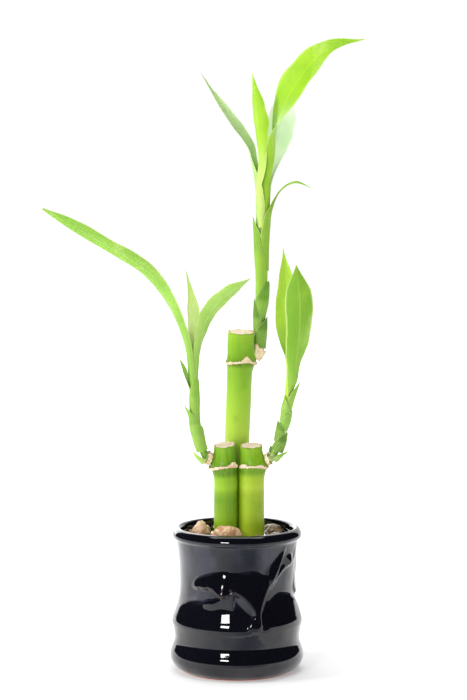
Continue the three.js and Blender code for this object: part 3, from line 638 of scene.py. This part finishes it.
# Leaves, lowest first: where the sheath starts, the way its midrib faces, its length, inside
# radius and half angle at both ends, then the blade's path and look. A blade also has a width,
# cupping and twist in degrees, and where it is full and starts to narrow.
leaves = dict(
    tall=[
        newLeaf(154.5, -15, 8, (2.5, 3.2), (160, 115), [(14.8, 12.8, 170.2)], "lowSheath"),
        newLeaf(162, 188, 6, (2.35, 2.8), (160, 100), [(7.8, 13.6, 179)], "lowSheath"),
        newLeaf(168, -38, 9, (2.05, 3), (160, 125), [(15.6, 11.2, 187.6)], "midSheath"),
        newLeaf(176, 196, 22, (2.1, 3.1), (160, 130), [(8.8, 11.6, 209), (7.5, 11, 218.6)],
                "tallSheath"),
        newLeaf(192, -22, 20, (2.1, 2.9), (150, 85),
                [(16.4, 10.4, 221), (20, 9, 230), (27.2, 3, 234.6), (36.2, -5, 231.8)], "narrow",
                width=2.2, cup=60, turn=20),
        newLeaf(202, 172, 28, (2.2, 3.1), (150, 95),
                [(8, 13.4, 243), (6.4, 15.4, 251.5), (1.2, 18.4, 260.4), (-9.4, 24, 275.5),
                 (-17.4, 30, 288)],
                "greyBlade", width=6, cup=60, turn=-70, full=(0.25, 0.3)),
        newLeaf(213, 62, 18, (1.9, 2.6), (140, 90),
                [(17, 20, 246), (21, 26, 260), (22.5, 40, 272), (24, 56, 271)], "backBlade",
                width=15, cup=30, turn=10),
        newLeaf(213.4, 180, 21, (1.9, 2.9), (150, 80),
                [(11, 8, 246), (10.4, 5.4, 262), (7.8, 0.8, 287.2)], "uprightBlade",
                room=((0, 0, 9), (0, 0, 0)), width=11, cup=50, turn=45, full=(0.35, 0.5)),
        newLeaf(219, -35, 17, (1.8, 2.2), (150, 105),
                [(16.6, 7.6, 246), (18.6, 2.6, 264), (28, -10, 284), (42.6, -18, 299),
                 (58.4, -22, 302.4)],
                "blade", room=((0, 0, 5), (0, 0, 0)), width=17, cup=28, turn=75),
    ],
    left=[
        newLeaf(102.8, 200, 2.4, (2.2, 2.7), (85, 60), [(-21.4, -4, 107.4)], "bract",
                room=((0, 0.4, 4), (1.8, 0.4, 0))),
        newLeaf(107, -82, 6.5, (2.3, 2.6), (160, 115), [(-19.1, -6.9, 121)], "sheath"),
        newLeaf(111.5, 192, 7, (2.0, 2.3), (160, 110), [(-22.4, -4.6, 123), (-25.8, -5.4, 130)],
                "sheath"),
        newLeaf(118.5, -50, 13, (1.8, 2.2), (160, 120), [(-18.9, -6, 143.4)], "sheath"),
        newLeaf(126, 176, 8, (1.4, 1.5), (140, 60),
                [(-23.6, -4.4, 140), (-25.6, -5, 146.4), (-27.7, -6.6, 153)], "paleSheath", width=4,
                cup=60, turn=-30),
        newLeaf(133.4, 200, 12.6, (1.1, 2.1), (150, 80),
                [(-24.4, -6, 158), (-31.6, -9, 178.6), (-42, -12.6, 193.6), (-64, -16, 208),
                 (-91, -19, 223.6)],
                "archBlade", width=7.6, cup=30, turn=52, full=(0.6, 0.74)),
        newLeaf(136, -20, 10, (0.8, 1.6), (140, 85),
                [(-17.6, -6, 160), (-13, -9, 174), (-2.6, -13.6, 184.6), (6.2, -17, 190.8)],
                "paleBlade", width=9, cup=34, turn=-45, full=(0.5, 0.6)),
        newLeaf(139.5, 110, 7, (0.4, 0.9), (110, 90),
                [(-20.8, -4, 160), (-21.6, -6, 178), (-24.4, -10, 195)], "centreBlade", width=7,
                cup=50, turn=0, full=(0.3, 0.3), swell=0.7),
    ],
    right=[
        newLeaf(104.4, 160, 1.6, (2.7, 2.9), (50, 40), [(15, -2.4, 109.2)], "bract"),
        newLeaf(102.8, -20, 2.4, (2.2, 2.7), (85, 60), [(25, -4.8, 107)], "bract",
                room=((2.2, 0.4, 2.8), (0, 0.4, 0))),
        newLeaf(107, -30, 4.5, (2.35, 2.7), (160, 110), [(24, -5.2, 116.2)], "lowSheath"),
        newLeaf(111.5, 200, 5, (2.1, 2.45), (160, 110), [(18.9, -5, 121.8)], "lowSheath"),
        newLeaf(117, -25, 4.5, (1.9, 2.3), (160, 110), [(26.4, -5.4, 126.4)], "sheath"),
        newLeaf(121, 195, 6, (1.7, 2.15), (160, 105), [(22.4, -5.6, 133.8)], "sheath"),
        newLeaf(126, -10, 6.5, (1.6, 2.0), (160, 95), [(30.2, -5, 141)], "sheath"),
        newLeaf(130, 150, 9, (1.3, 1.9), (150, 85),
                [(24.4, -3, 152), (23, 0.6, 168), (23.8, 3, 184), (22.4, 8, 203.4)], "glowBlade",
                width=10, cup=35, turn=-60, full=(0.45, 0.5), swell=0.7),
        newLeaf(134.6, -60, 7, (0.8, 2.0), (130, 100),
                [(28.2, -8, 151), (29.6, -10.6, 166), (29.6, -11, 180), (28, -9.4, 196.4)],
                "frontBlade", width=13.4, cup=30, turn=-15, full=(0.6, 0.62), swell=0.6),
    ],
)
leafForm = dict(thick=0.28, ripple=0.22, keel=0.12, tuck=0.84, wave=0.14, step=0.9, rows=(26, 110),
                bladeAcross=25, sheathAcross=31)
# In a look, shade is the share of painted shade on one half of the folded blade.
plainBlade = dict(main="a2cf2a", deep="8abe22", vein="bbdc4e", veins=58, veinStrength=0.5,
                  base="a6d04a", baseFrom=0.0, baseTo=0.3, baseShare=0.3, ribShare=0.25,
                  edge="d2e88a", edgeShare=0.45, tip="c9cf5e", tipShare=0.5, dryShare=0.06,
                  shade=0.35, rough=0.36, through=0.15, scatter=0.0008)
plainSheath = dict(plainBlade, main="90bf44", deep="76a832", vein="aed063", veins=34,
                   veinStrength=0.4, base="a8cc62", baseShare=0.4, edge="c4dc94", edgeShare=0.35,
                   tip="b9cd78", dryShare=0.2, shade=0.12, rough=0.38, through=0.1)
leafLooks = dict(
    blade=plainBlade,
    paleBlade=dict(plainBlade, main="b0d66c", deep="98c450", vein="cde896", base="92be50",
                   baseShare=0.7),
    archBlade=dict(plainBlade, main="9ccb50", deep="84b83a", vein="bade7c", base="92be50",
                   baseShare=0.7),
    centreBlade=dict(plainBlade, main="c6ea6e", deep="a8d450", vein="e6f6a8", base="f4fac4",
                     baseFrom=0.3, baseTo=0.95, baseShare=0.9),
    frontBlade=dict(plainBlade, main="96c53a", deep="7aae2c", vein="aed458", base="a6cc66",
                    shade=0.5, edgeShare=0.75, ribShare=0.5),
    glowBlade=dict(plainBlade, main="c2e646", deep="a4d436", vein="dcf27a", shade=0.45),
    narrow=dict(plainBlade, main="86b530", deep="6c9c26", base="b4d85c"),
    greyBlade=dict(plainBlade, main="bcd998", deep="a0c47c", vein="d4e8b8", base="a6cf66",
                   baseTo=0.4, baseShare=0.85, rough=0.42, through=0),
    backBlade=dict(plainBlade, main="ddf2cc", deep="c6e8b4", vein="eef8e2", base="eef6e2",
                   baseShare=0.7, edge="f2f8ea", shade=0.1),
    uprightBlade=dict(plainBlade, base="cfe686", baseTo=0.5, baseShare=0.75),
    sheath=plainSheath,
    paleSheath=dict(plainSheath, main="a8cf66", deep="8fbc4c", vein="c2de8c"),
    tallSheath=dict(plainSheath, main="82b238", deep="6a9c2a", base="a4cc4a", baseTo=0.3,
                    baseShare=0.6),
    midSheath=dict(plainSheath, main="7aac34", deep="5c8e26", vein="9cc656"),
    lowSheath=dict(plainSheath, main="5f9024", deep="4a781b", dryShare=0.5),
    bract=dict(plainSheath, main="a6cf46", deep="8cbc34", base="cfe0a0"),
)


def stemLine(shoot):
    return smoothLine([*shoot["axis"], shoot["axisEnd"]])


def atHeight(line, height):  # a point of the stem's axis and the way that the axis runs there
    point, ahead, behind = (pick(line, line[:, 2], height + step) for step in (0, 0.2, -0.2))
    return point, unit(ahead - behind)


def gripAt(shoot, leaf, inSheath):
    return between(leaf["grip"], inSheath) * shoot["girth"] + leafForm["thick"] / 2


def midrib(shoot, leaf):
    line = stemLine(shoot)
    out = compass(leaf["side"])
    points = []
    steps = max(round(leaf["sheath"] / 5), 2)
    for i in range(steps + 1):
        point, along = atHeight(line, leaf["node"] + leaf["sheath"] * i / steps)
        away = unit(out - along * np.dot(out, along))
        points.append(point + away * gripAt(shoot, leaf, i / steps))
    path = [np.array(point, float) for point in leaf["path"]]
    if "width" not in leaf:  # a bare sheath's tip lies close to the stem
        beside, _ = atHeight(line, path[-1][2])
        path[-1] = beside + (path[-1] - beside) * leafForm["tuck"]
    return smoothLine([*points, *path])


def rolledTo(shoot, leaf, inSheath, inBlade):  # the half angle and radius of a leaf's section
    grip = gripAt(shoot, leaf, inSheath)
    wrap = radians(between(leaf["wrap"], inSheath))
    if "width" not in leaf:
        return wrap * (1 - 0.96 * inBlade ** 1.5), grip
    if inBlade <= 0:
        return wrap, grip
    mouth = 2 * wrap * grip
    widest, narrows = leaf.get("full", (0.45, 0.4))
    full = between((mouth, leaf["width"]), ease(inBlade, 0, widest) ** leaf.get("swell", 1))
    full *= 1 + leafForm["wave"] * noise.noise((leaf["node"], 0, inBlade * 9))
    narrowing = cos(pi / 2 * ease(inBlade, narrows, 1.04) ** 1.1)
    angle = between((wrap, radians(leaf["cup"])), ease(inBlade, 0, 0.35))
    return angle, full * narrowing / (2 * angle)


def buildLeaf(name, shoot, leaf, looks):
    bladed = "width" in leaf
    rib = midrib(shoot, leaf)
    lengths = lengthsAlong(rib)
    total = lengths[-1]
    sheathShare = leaf["sheath"] / total
    fewest, most = leafForm["rows"]
    rows = int(min(max(total / leafForm["step"], fewest), most))
    across = leafForm["bladeAcross"] if bladed else leafForm["sheathAcross"]
    stops = np.linspace(0, 1, rows)
    stops = np.where(stops > 0.9, 1 - (1 - stops) ** 1.6 / 0.1 ** 0.6, stops)
    centres = pick(rib, lengths, stops * total)
    before = pick(rib, lengths, np.clip(stops * total - 0.3, 0, total))
    after = pick(rib, lengths, np.clip(stops * total + 0.3, 0, total))
    alongs = (after - before) / np.linalg.norm(after - before, axis=1)[:, None]
    _, last = atHeight(stemLine(shoot), leaf["node"])
    level = Vector(unit(np.cross(compass(leaf["side"]), last)))
    last = Vector(last)
    seed = leaf["node"] * 0.37 + leaf["side"]
    shares = np.linspace(-1, 1, across)
    points, bladeAt = [], []
    for stop, centre, along in zip(stops, centres, alongs):
        along = Vector(along)
        level = (last.rotation_difference(along) @ level).normalized()
        last = along
        inBlade = max((stop - sheathShare) / (1 - sheathShare), 0)
        twist = radians(leaf.get("turn", 0)) * float(ease(inBlade, 0, 0.6))
        sidewise = Quaternion(along, twist) @ level
        inward = np.array(sidewise.cross(along).normalized())
        sidewise = np.array(sidewise)
        angle, radius = rolledTo(shoot, leaf, min(stop / sheathShare, 1), inBlade)
        skin = min(leafForm["thick"], radius * 0.8)
        ripple = leafForm["ripple"] * float(ease(inBlade, 0.05, 0.4)) * bladed
        keel = leafForm["keel"] * float(ease(inBlade, 0, 0.2) * (1 - ease(inBlade, 0.75, 1)))
        for side in (1, -1):
            for share in shares[::side]:
                wave = noise.noise((seed, share * 0.8, stop * total * 0.07))
                flutter = noise.noise((seed + 9, share * 1.4, stop * total * 0.22))
                lift = ripple * share ** 2 * (2.2 * wave + 1.1 * flutter)
                lift += keel * exp(-(share / 0.09) ** 2)
                reach = radius + side * skin * (1 - 0.5 * abs(share) ** 3) / 2
                points.append(centre + sidewise * reach * sin(share * angle)
                              + inward * (radius - reach * cos(share * angle) - lift))
        bladeAt += [inBlade] * across * 2
    around = across * 2
    faces = gridFaces(rows, around)
    for start, flip in ((0, False), ((rows - 1) * around, True)):
        for j in range(across - 1):
            k = around - 1 - j
            face = (start + j, start + j + 1, start + k - 1, start + k)
            faces.append(face[::-1] if flip else face)
    makePiece(name, points, faces, [looks[leaf["look"]]], "leaf" if bladed else "sheath",
              fit="centre", sharp=50, room=leaf.get("room", noRoom),
              attributes={"across": [*shares, *shares[::-1]] * rows, "blade": bladeAt})


def leafPaint(place, look):
    across, blade = place.attribute("across"), place.attribute("blade")
    wander = (place.grain(45, 2) - 0.5) * 1.2
    veins = (across * look["veins"] + wander).waves()
    fine = (across * look["veins"] * 3.3 + wander * 2).waves()
    paler = place.stretched(1, 1, 0.35).grain(95, 4, 0.6).ease(0.5, 0.72) * blade.ease(0, 0.15)
    base = 1 - (blade + (place.grain(60) - 0.5) * 0.1).ease(look["baseFrom"], look["baseTo"])
    # band is painted shade: it darkens one half of the folded blade towards the deep colour, by the
    # look's shade share, as if that half of the fold were in shade
    band = (across * 1.7 + (place.grain(22, 2) - 0.5) * 4).waves()
    rib = (1 - across.size().ease(0.0, 0.1)) * blade.ease(0, 0.2)
    tip = (blade + (place.grain(200) - 0.5) * 0.06).ease(0.955, 0.995)
    dry = place.grain(260, 5, 0.7).ease(0.6, 0.72) * place.grain(90).ease(0.45, 0.62)
    colour = place.grain(42, 4, 0.6).ease(0.38, 0.62).tint(look["deep"], look["main"]).under(
        (paler * 0.45, look["edge"]), (veins ** 2 * look["veinStrength"], look["vein"]),
        (fine ** 3 * look["veinStrength"] * 0.6, look["deep"]),
        (base * look["baseShare"], look["base"]), (band * look["shade"], look["deep"]),
        (rib * look["ribShare"], look["vein"]),
        (across.size().ease(0.84, 0.97) * look["edgeShare"], look["edge"]),
        (tip * look["tipShare"], look["tip"]), (dry * look["dryShare"], "e6dca6"))
    bump = veins * 0.5 + fine * 0.3 + place.grain(240, 3) * 0.4 + dry * 0.3
    return {"Base Color": colour, "Subsurface Weight": look["through"],
            "Roughness": look["rough"] + place.grain(90, 3) * 0.12 + dry * look["dryShare"] * 0.3,
            "Subsurface Radius": (0.75, 1, 0.2), "Subsurface Scale": look["scatter"],
            "Specular IOR Level": 0.22, "Normal": bump.bump(0.35, 0.00012)}


stemForm = dict(rows=90, around=36, knot=0.5, foot=2.5)


def buildStem(name, shoot, nodes, material):
    line = stemLine(shoot)
    bottom, top = shoot["axis"][0][2], shoot["axis"][-1][2]
    rows, around = stemForm["rows"], stemForm["around"]
    points, knots = [], []
    for i in range(rows):
        height = between((bottom, top), i / (rows - 1))
        centre, along = atHeight(line, height)
        side = unit(np.cross([0, 1, 0], along))
        front = np.cross(along, side)
        knot = max(exp(-((height - node) / stemForm["knot"]) ** 2) for node in nodes)
        radius = between(shoot["stem"], i / (rows - 1))
        radius *= 1 - 0.05 * (1 - knot) + 0.15 * exp(-(height - bottom) / stemForm["foot"])
        for j in range(around):
            turn = 2 * pi * j / around
            points.append(centre + radius * (side * cos(turn) + front * sin(turn)))
        knots += [knot] * around
    faces = gridFaces(rows, around) + endCaps(len(points), around)
    makePiece(name, points, faces, [material], "shoot_stem", attributes={"knot": knots},
              room=shoot["room"])


def stemPaint(place):
    streak = place.stretched(1, 1, 0.15).grain(700, 3)
    colour = streak.ease(0.3, 0.7).tint("6da132", "9cca55").under(
        (place.attribute("knot") * 0.7, "d9dfa2"))
    return {"Base Color": colour, "Roughness": 0.35 + place.grain(150) * 0.15,
            "Subsurface Weight": 0.3, "Subsurface Radius": (0.8, 1, 0.25),
            "Subsurface Scale": 0.001, "Normal": streak.bump(0.3, 0.0002)}


# The dry collar around a shoot's base: its centre, the way it faces, its radius and width, and
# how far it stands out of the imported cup's box, low and high.
baseHusks = dict(
    tall=dict(centre=(10.4, 13, 153), faces=(0.55, 0.1, 0.8), radius=3, width=5,
              room=((2.9, 1, 3.4), (-0.3, 0.4, 1.4)), seed=4),
    left=dict(centre=(-13.8, -2.6, 103.4), faces=(-0.88, -0.2, 0.42), radius=3.3, width=3.2,
              room=((-2.8, 1.2, 1.4), (1.8, 1, 2)), seed=9),
    right=dict(centre=(15, -2.8, 103), faces=(0.84, -0.2, 0.5), radius=3.1, width=2.8,
               room=((2, 1, 1.4), (-3, 1, 1.6)), seed=15),
)
collarForm = dict(steps=120, rows=15, thick=0.3, flare=0.5, crumple=0.55, torn=1.5)


def buildBaseHusk(node, husk, material):
    form = collarForm
    ahead = unit(np.array(husk["faces"], float))
    side = unit(np.cross([0, 0, 1], ahead))
    up = np.cross(ahead, side)
    sections = []
    for i in range(form["steps"]):
        turn = 2 * pi * i / form["steps"]
        out = side * cos(turn) + up * sin(turn)
        spot = Vector((cos(turn) * 1.7 + husk["seed"], sin(turn) * 1.7, 0))
        torn = form["torn"] * noise.fractal(spot * 1.6, 1.0, 2.0, 4)
        inner, outer = [], []
        for share in np.linspace(0, 1, form["rows"]):
            crease = noise.fractal(spot * 1.5 + Vector((0, 0, share * 2.2)), 1.0, 2.0, 3)
            reach = husk["radius"] + form["flare"] * share ** 2 + form["crumple"] * crease
            level = husk["width"] * (share - 0.5) + torn * (share - 0.2)
            middle = np.array(husk["centre"]) + ahead * level
            inner.append(middle + out * reach)
            outer.append(middle + out * (reach + form["thick"]))
        sections.append((inner, outer))
    buildCollar(node, sections, material, sharp=50, room=husk["room"])


looks = {name: makeMaterial(name, leafPaint, look) for name, look in leafLooks.items()}
shootStem = makeMaterial("shootStem", stemPaint)
for shootName, shoot in shoots.items():
    nodes = [leaf["node"] for leaf in leaves[shootName]]
    buildStem(shootName + "_shoot_stem", shoot, nodes, shootStem)
    buildBaseHusk(shootName + "_shoot_husk", baseHusks[shootName], dryHusk)
    for i, leaf in enumerate(leaves[shootName]):
        buildLeaf(f"{shootName}_leaf_{i + 1}", shoot, leaf, looks)
    print(shootName, "shoot built")


# Pebbles: water-worn stones that break the surface of the water, as light and dark tones
stones = [("edc8a4", "cb9a76"), ("f0cfa0", "c98f62"), ("e6b894", "bb835e"), ("cdb08c", "8f6f52"),
          ("ae9070", "6a523e"), ("b8987a", "745a44"), ("dcbb8b", "a98458"), ("c6a682", "8a6a4b"),
          ("e2c79d", "b18c5e"), ("d2ae84", "97734d"), ("e0c092", "a67f52"), ("c9a680", "8d6a49"),
          ("d8b68a", "9c7850")]


def stonePoints(ball, seed, lumps):
    shaped = []
    for v in ball:
        push = lumps * noise.fractal(v * 1.1 + Vector((seed * 7.3, 0, 0)), 1.0, 2.0, 3)
        ridge = 0.5 * lumps * abs(noise.noise(v * 1.7 + Vector((0, seed * 3.1, 0))))
        shaped.append(v * (1 + push - ridge))
    return shaped


def roundBall(level):
    ball = bmesh.new()
    bmesh.ops.create_icosphere(ball, subdivisions=level, radius=1)
    points = [v.co.copy() for v in ball.verts]
    faces = [tuple(v.index for v in face.verts) for face in ball.faces]
    ball.free()
    return points, faces


def stonePaint(place, light, dark, seed):
    band = (place.stretched(1, 0.4, 1.6).grain(160, 4) * 26 + seed).waves()
    speck = 1 - place.cells(1500).ease(0.12, 0.3)
    wet = 1 - (place.part(2) + (place.grain(300) - 0.5) * 0.002).ease(0.067, 0.0695)
    colour = band.tint(dark, light).under(
        (place.grain(420, 5).ease(0.5, 0.75) * 0.35, "f4e0c4"),
        (speck * place.grain(200).ease(0.5, 0.65) * 0.6, "6e4b30"), (wet * 0.45, "6b4526"))
    bump = place.grain(900, 5) + place.grain(300, 3) * 1.5
    return {"Base Color": colour, "Roughness": 0.42 - wet * 0.2 + place.grain(300) * 0.12,
            "Coat Weight": 0.25 + wet * 0.6, "Coat Roughness": 0.08,
            "Normal": bump.bump(0.4, 0.0003)}


ballPoints, ballFaces = roundBall(5)
for number, tones in enumerate(stones, 1):
    material = makeMaterial(f"pebbleStone{number}", stonePaint, *tones, number)
    makePiece(f"pebble_{number}", stonePoints(ballPoints, number, 0.16), ballFaces, [material],
              "pebble")
print("pebbles built")


# Gravel: small stones heaped over the bed that the canes stand in
gravel = dict(stones=340, size=(1.5, 2.9), levels=(9, 16, 24, 31, 38, 46), bedTop=55.4, heapAt=55,
              around=64, wallGap=0.4, caneRadius=6, tries=6000)


def insideRadius(height):
    radii, heights = zip(*pot["inside"][::-1])
    return float(np.interp(height, heights, radii))


def buildGravel(material):
    low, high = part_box("gravel_bed")
    bottom, top, bedTop = low.z / mm, high.z / mm, gravel["bedTop"]
    points, faces = turned([(insideRadius(level) - gravel["wallGap"], level)
                            for level in (bottom, *gravel["levels"], bedTop)], gravel["around"])
    shade = [0.5] * len(points)
    small, smallFaces = roundBall(3)
    feet = [caneCentre(cane, np.array(bedTop)) for cane in canes.values()]
    placed = []
    for _ in range(gravel["tries"]):
        if len(placed) >= gravel["stones"]:
            break
        size = rng.uniform(*gravel["size"])
        reach = (insideRadius(gravel["heapAt"]) - size - 0.4) * sqrt(rng.random())
        turn = rng.uniform(0, 2 * pi)
        x, y = reach * cos(turn), reach * sin(turn)
        z = rng.uniform(bedTop - 1.2, top - size)
        clear = all(hypot(x - f[0], y - f[1]) > gravel["caneRadius"] + size * 0.9
                    for f in feet)
        apart = all(dist((x, y, z), p[:3]) > 0.62 * (size + p[3]) for p in placed)
        if clear and apart:
            placed.append((x, y, z, size))
    for k, (x, y, z, size) in enumerate(placed):
        spin = Quaternion((rng.uniform(-1, 1), rng.uniform(-1, 1), 1), rng.uniform(0, 6))
        scale = Vector((rng.uniform(0.85, 1.2), rng.uniform(0.75, 1), rng.uniform(0.55, 0.8)))
        start = len(points)
        for v in stonePoints(small, k, 0.2):
            moved = spin @ (v * scale * size)
            points.append((x + moved.x, y + moved.y, min(z + moved.z, top)))
        faces += [tuple(start + v for v in face) for face in smallFaces]
        shade += [rng.random()] * len(small)
    makePiece("gravel_bed", points, faces, [material], "gravel", fit=None,
              attributes={"shade": shade})
    print("gravel built,", len(placed), "stones on the bed")


def gravelPaint(place):
    colour = place.attribute("shade").ramp([(0, "4e3826"), (0.3, "8d6c4a"), (0.6, "b8935f"),
                                            (0.85, "d3b184"), (1, "6d5f52")])
    return {"Base Color": colour.under((place.grain(700, 4).ease(0.45, 0.7) * 0.5, "513a27")),
            "Roughness": 0.4 + place.grain(500) * 0.25,
            "Normal": place.grain(1100, 4).bump(0.5, 0.0002)}


buildGravel(makeMaterial("wetGravel", gravelPaint))


# Water: a still surface that climbs a little where it meets the wall
water = dict(around=160, climb=0.55, reach=1.5, rim=4)


def buildWater(material):
    low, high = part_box("water")
    bottom, edge = low.z / mm, high.x / mm
    level = high.z / mm - water["climb"]
    rim = water["rim"]
    radii = [*np.linspace(0.5, edge - rim, 14), *(edge - rim * (1 - np.linspace(0.08, 1, 16)))]
    rows = [(radii[0], bottom), (insideRadius(bottom) - 0.4, bottom)]
    rows += [(insideRadius(h) - 0.3, h) for h in np.linspace(bottom + 0.8, level - 0.4, 6)]
    rows += [(r, level + water["climb"] * exp(-(edge - r) / water["reach"]))
             for r in radii[::-1]]
    makePiece("water", *turned(rows, water["around"]), [material], "water")


def waterPaint(place):
    return {"Base Color": place.grain(80).tint("dfe6dc", "eef1ea"), "Roughness": 0.02,
            "IOR": 1.33, "Transmission Weight": 1.0,
            "Normal": place.grain(60, 2).bump(0.08, 0.0004)}


buildWater(makeMaterial("stillWater", waterPaint))
print("water built")


# Stage: a white floor, soft lights, and the camera
stageForm = dict(floor=8, dome=7, flagRadius=1.5, flagHeight=1.5, flagSpread=140, cardTurn=0.35,
                 cardSpread=1.1, glow=(0.25, 0.68), glowReach=(0.16, 0.8), ambient=0.4)
black = (0, 0, 0, 1)


def stagePaint(place, colour, glow, strength=1):
    return {"Base Color": colour, "Roughness": 1, "Specular IOR Level": 0,
            "Emission Color": glow, "Emission Strength": strength}


def floorPaint(place):  # glows more the further it lies from the pot
    away = (place.part(0) ** 2 + place.part(1) ** 2) ** 0.5
    glow = away.ease(*stageForm["glowReach"])
    near, far = ((level, level, level, 1) for level in stageForm["glow"])
    return stagePaint(place, (0.9, 0.9, 0.905, 1), glow.tint(near, far))


def cardPaint(place):  # glows as the floor does at its sides, and less towards its middle
    aside = (place.part(0) / (place.part(1) * -1) - stageForm["cardTurn"]).size()
    shade = aside.ease(0, stageForm["cardSpread"])
    return stagePaint(place, black, shade.tint((0.46, 0.49, 0.59, 1), (1.22, 1.24, 1.3, 1)))


def stagePiece(name, points, faces, paint, settings=(), unseenBy=()):
    material = makeMaterial(name, paint, *settings)
    material.cycles.emission_sampling = "NONE"
    piece = meshObject(name, points, faces, [material])
    for ray in unseenBy:
        setattr(piece, "visible_" + ray, False)


def rectangle(left, front, right, back, height):
    return [(left, front, height), (right, front, height), (right, back, height),
            (left, back, height)]


def buildStage():
    form = stageForm
    half, reach, height = form["floor"], form["flagRadius"], form["flagHeight"]
    soft = ("diffuse", "transmission", "volume_scatter", "shadow")
    stagePiece("floor", rectangle(-half, -half, half, half, 0), [(0, 1, 2, 3)], floorPaint)
    ball, faces = roundBall(4)
    stagePiece("backdrop", [tuple(v * form["dome"]) for v in ball], faces, stagePaint,
               (black, (1, 1, 1, 1), 1.03), soft)
    spread = np.radians(np.linspace(-form["flagSpread"], form["flagSpread"], 24))
    rows = [(reach, 0.03), (reach, height * 0.6), (reach * 0.75, height), (0.1, height * 1.2)]
    points = [(r * sin(a), -r * cos(a), h) for r, h in rows for a in spread]
    stagePiece("flag", points, gridFaces(4, 24, False), stagePaint,
               ((0.012, 0.012, 0.014, 1), (1, 1, 1, 1), 0), ("camera", *soft))
    stagePiece("floorCard", rectangle(-2, -1.4, 2, -0.05, 0.002), [(0, 1, 2, 3)], cardPaint,
               unseenBy=("camera", *soft))


def addLight(name, place, aim, size, power, glossy=True, diffuse=True):
    light = bpy.data.lights.new(name, "AREA")
    light.shape = "RECTANGLE"
    light.size, light.size_y = size
    light.energy = power
    lamp = bpy.data.objects.new(name, light)
    lamp.location = place
    lamp.rotation_euler = (Vector(aim) - Vector(place)).to_track_quat("-Z", "Y").to_euler()
    lamp.visible_camera = False
    lamp.visible_glossy = glossy
    lamp.visible_diffuse = diffuse
    scene.collection.objects.link(lamp)


buildStage()
world = bpy.data.worlds.new("studio")
world.use_nodes = True
world.node_tree.nodes["Background"].inputs["Color"].default_value = (1, 1, 1, 1)
world.node_tree.nodes["Background"].inputs["Strength"].default_value = stageForm["ambient"]
scene.world = world
addLight("topSoftbox", (0.1, 0.1, 1.45), (0, 0, 0), (1.4, 1.4), 9, glossy=False)
addLight("leftSoftbox", (-1.15, -0.25, 0.5), (0, 0, 0.12), (0.4, 1.1), 9, glossy=False)
addLight("rightSoftbox", (1.15, -0.1, 0.5), (0, 0, 0.12), (0.4, 1.1), 0.4, glossy=False)
addLight("backSoftbox", (-0.45, 1.3, 0.65), (0, 0, 0.2), (1.2, 1.1), 8)
addLight("window", (-0.38, -0.94, 0.46), (0, 0, 0.05), (0.26, 0.11), 2.4)
addLight("overhead", (0, -0.12, 1.2), (0, 0, 0.1), (1.3, 0.36), 6, diffuse=False)

lens = dict(place=(-0.0017, -1.134, 0.262), down=5.38, focal=122.2, sensor=36)
camera = bpy.data.objects.new("camera", bpy.data.cameras.new("camera"))
camera.location = lens["place"]
camera.rotation_euler = (radians(90 - lens["down"]), 0, 0)
camera.data.lens = lens["focal"]
camera.data.sensor_width = lens["sensor"]
scene.collection.objects.link(camera)
scene.camera = camera
scene.view_settings.view_transform = "Standard"
print("stage and camera set")
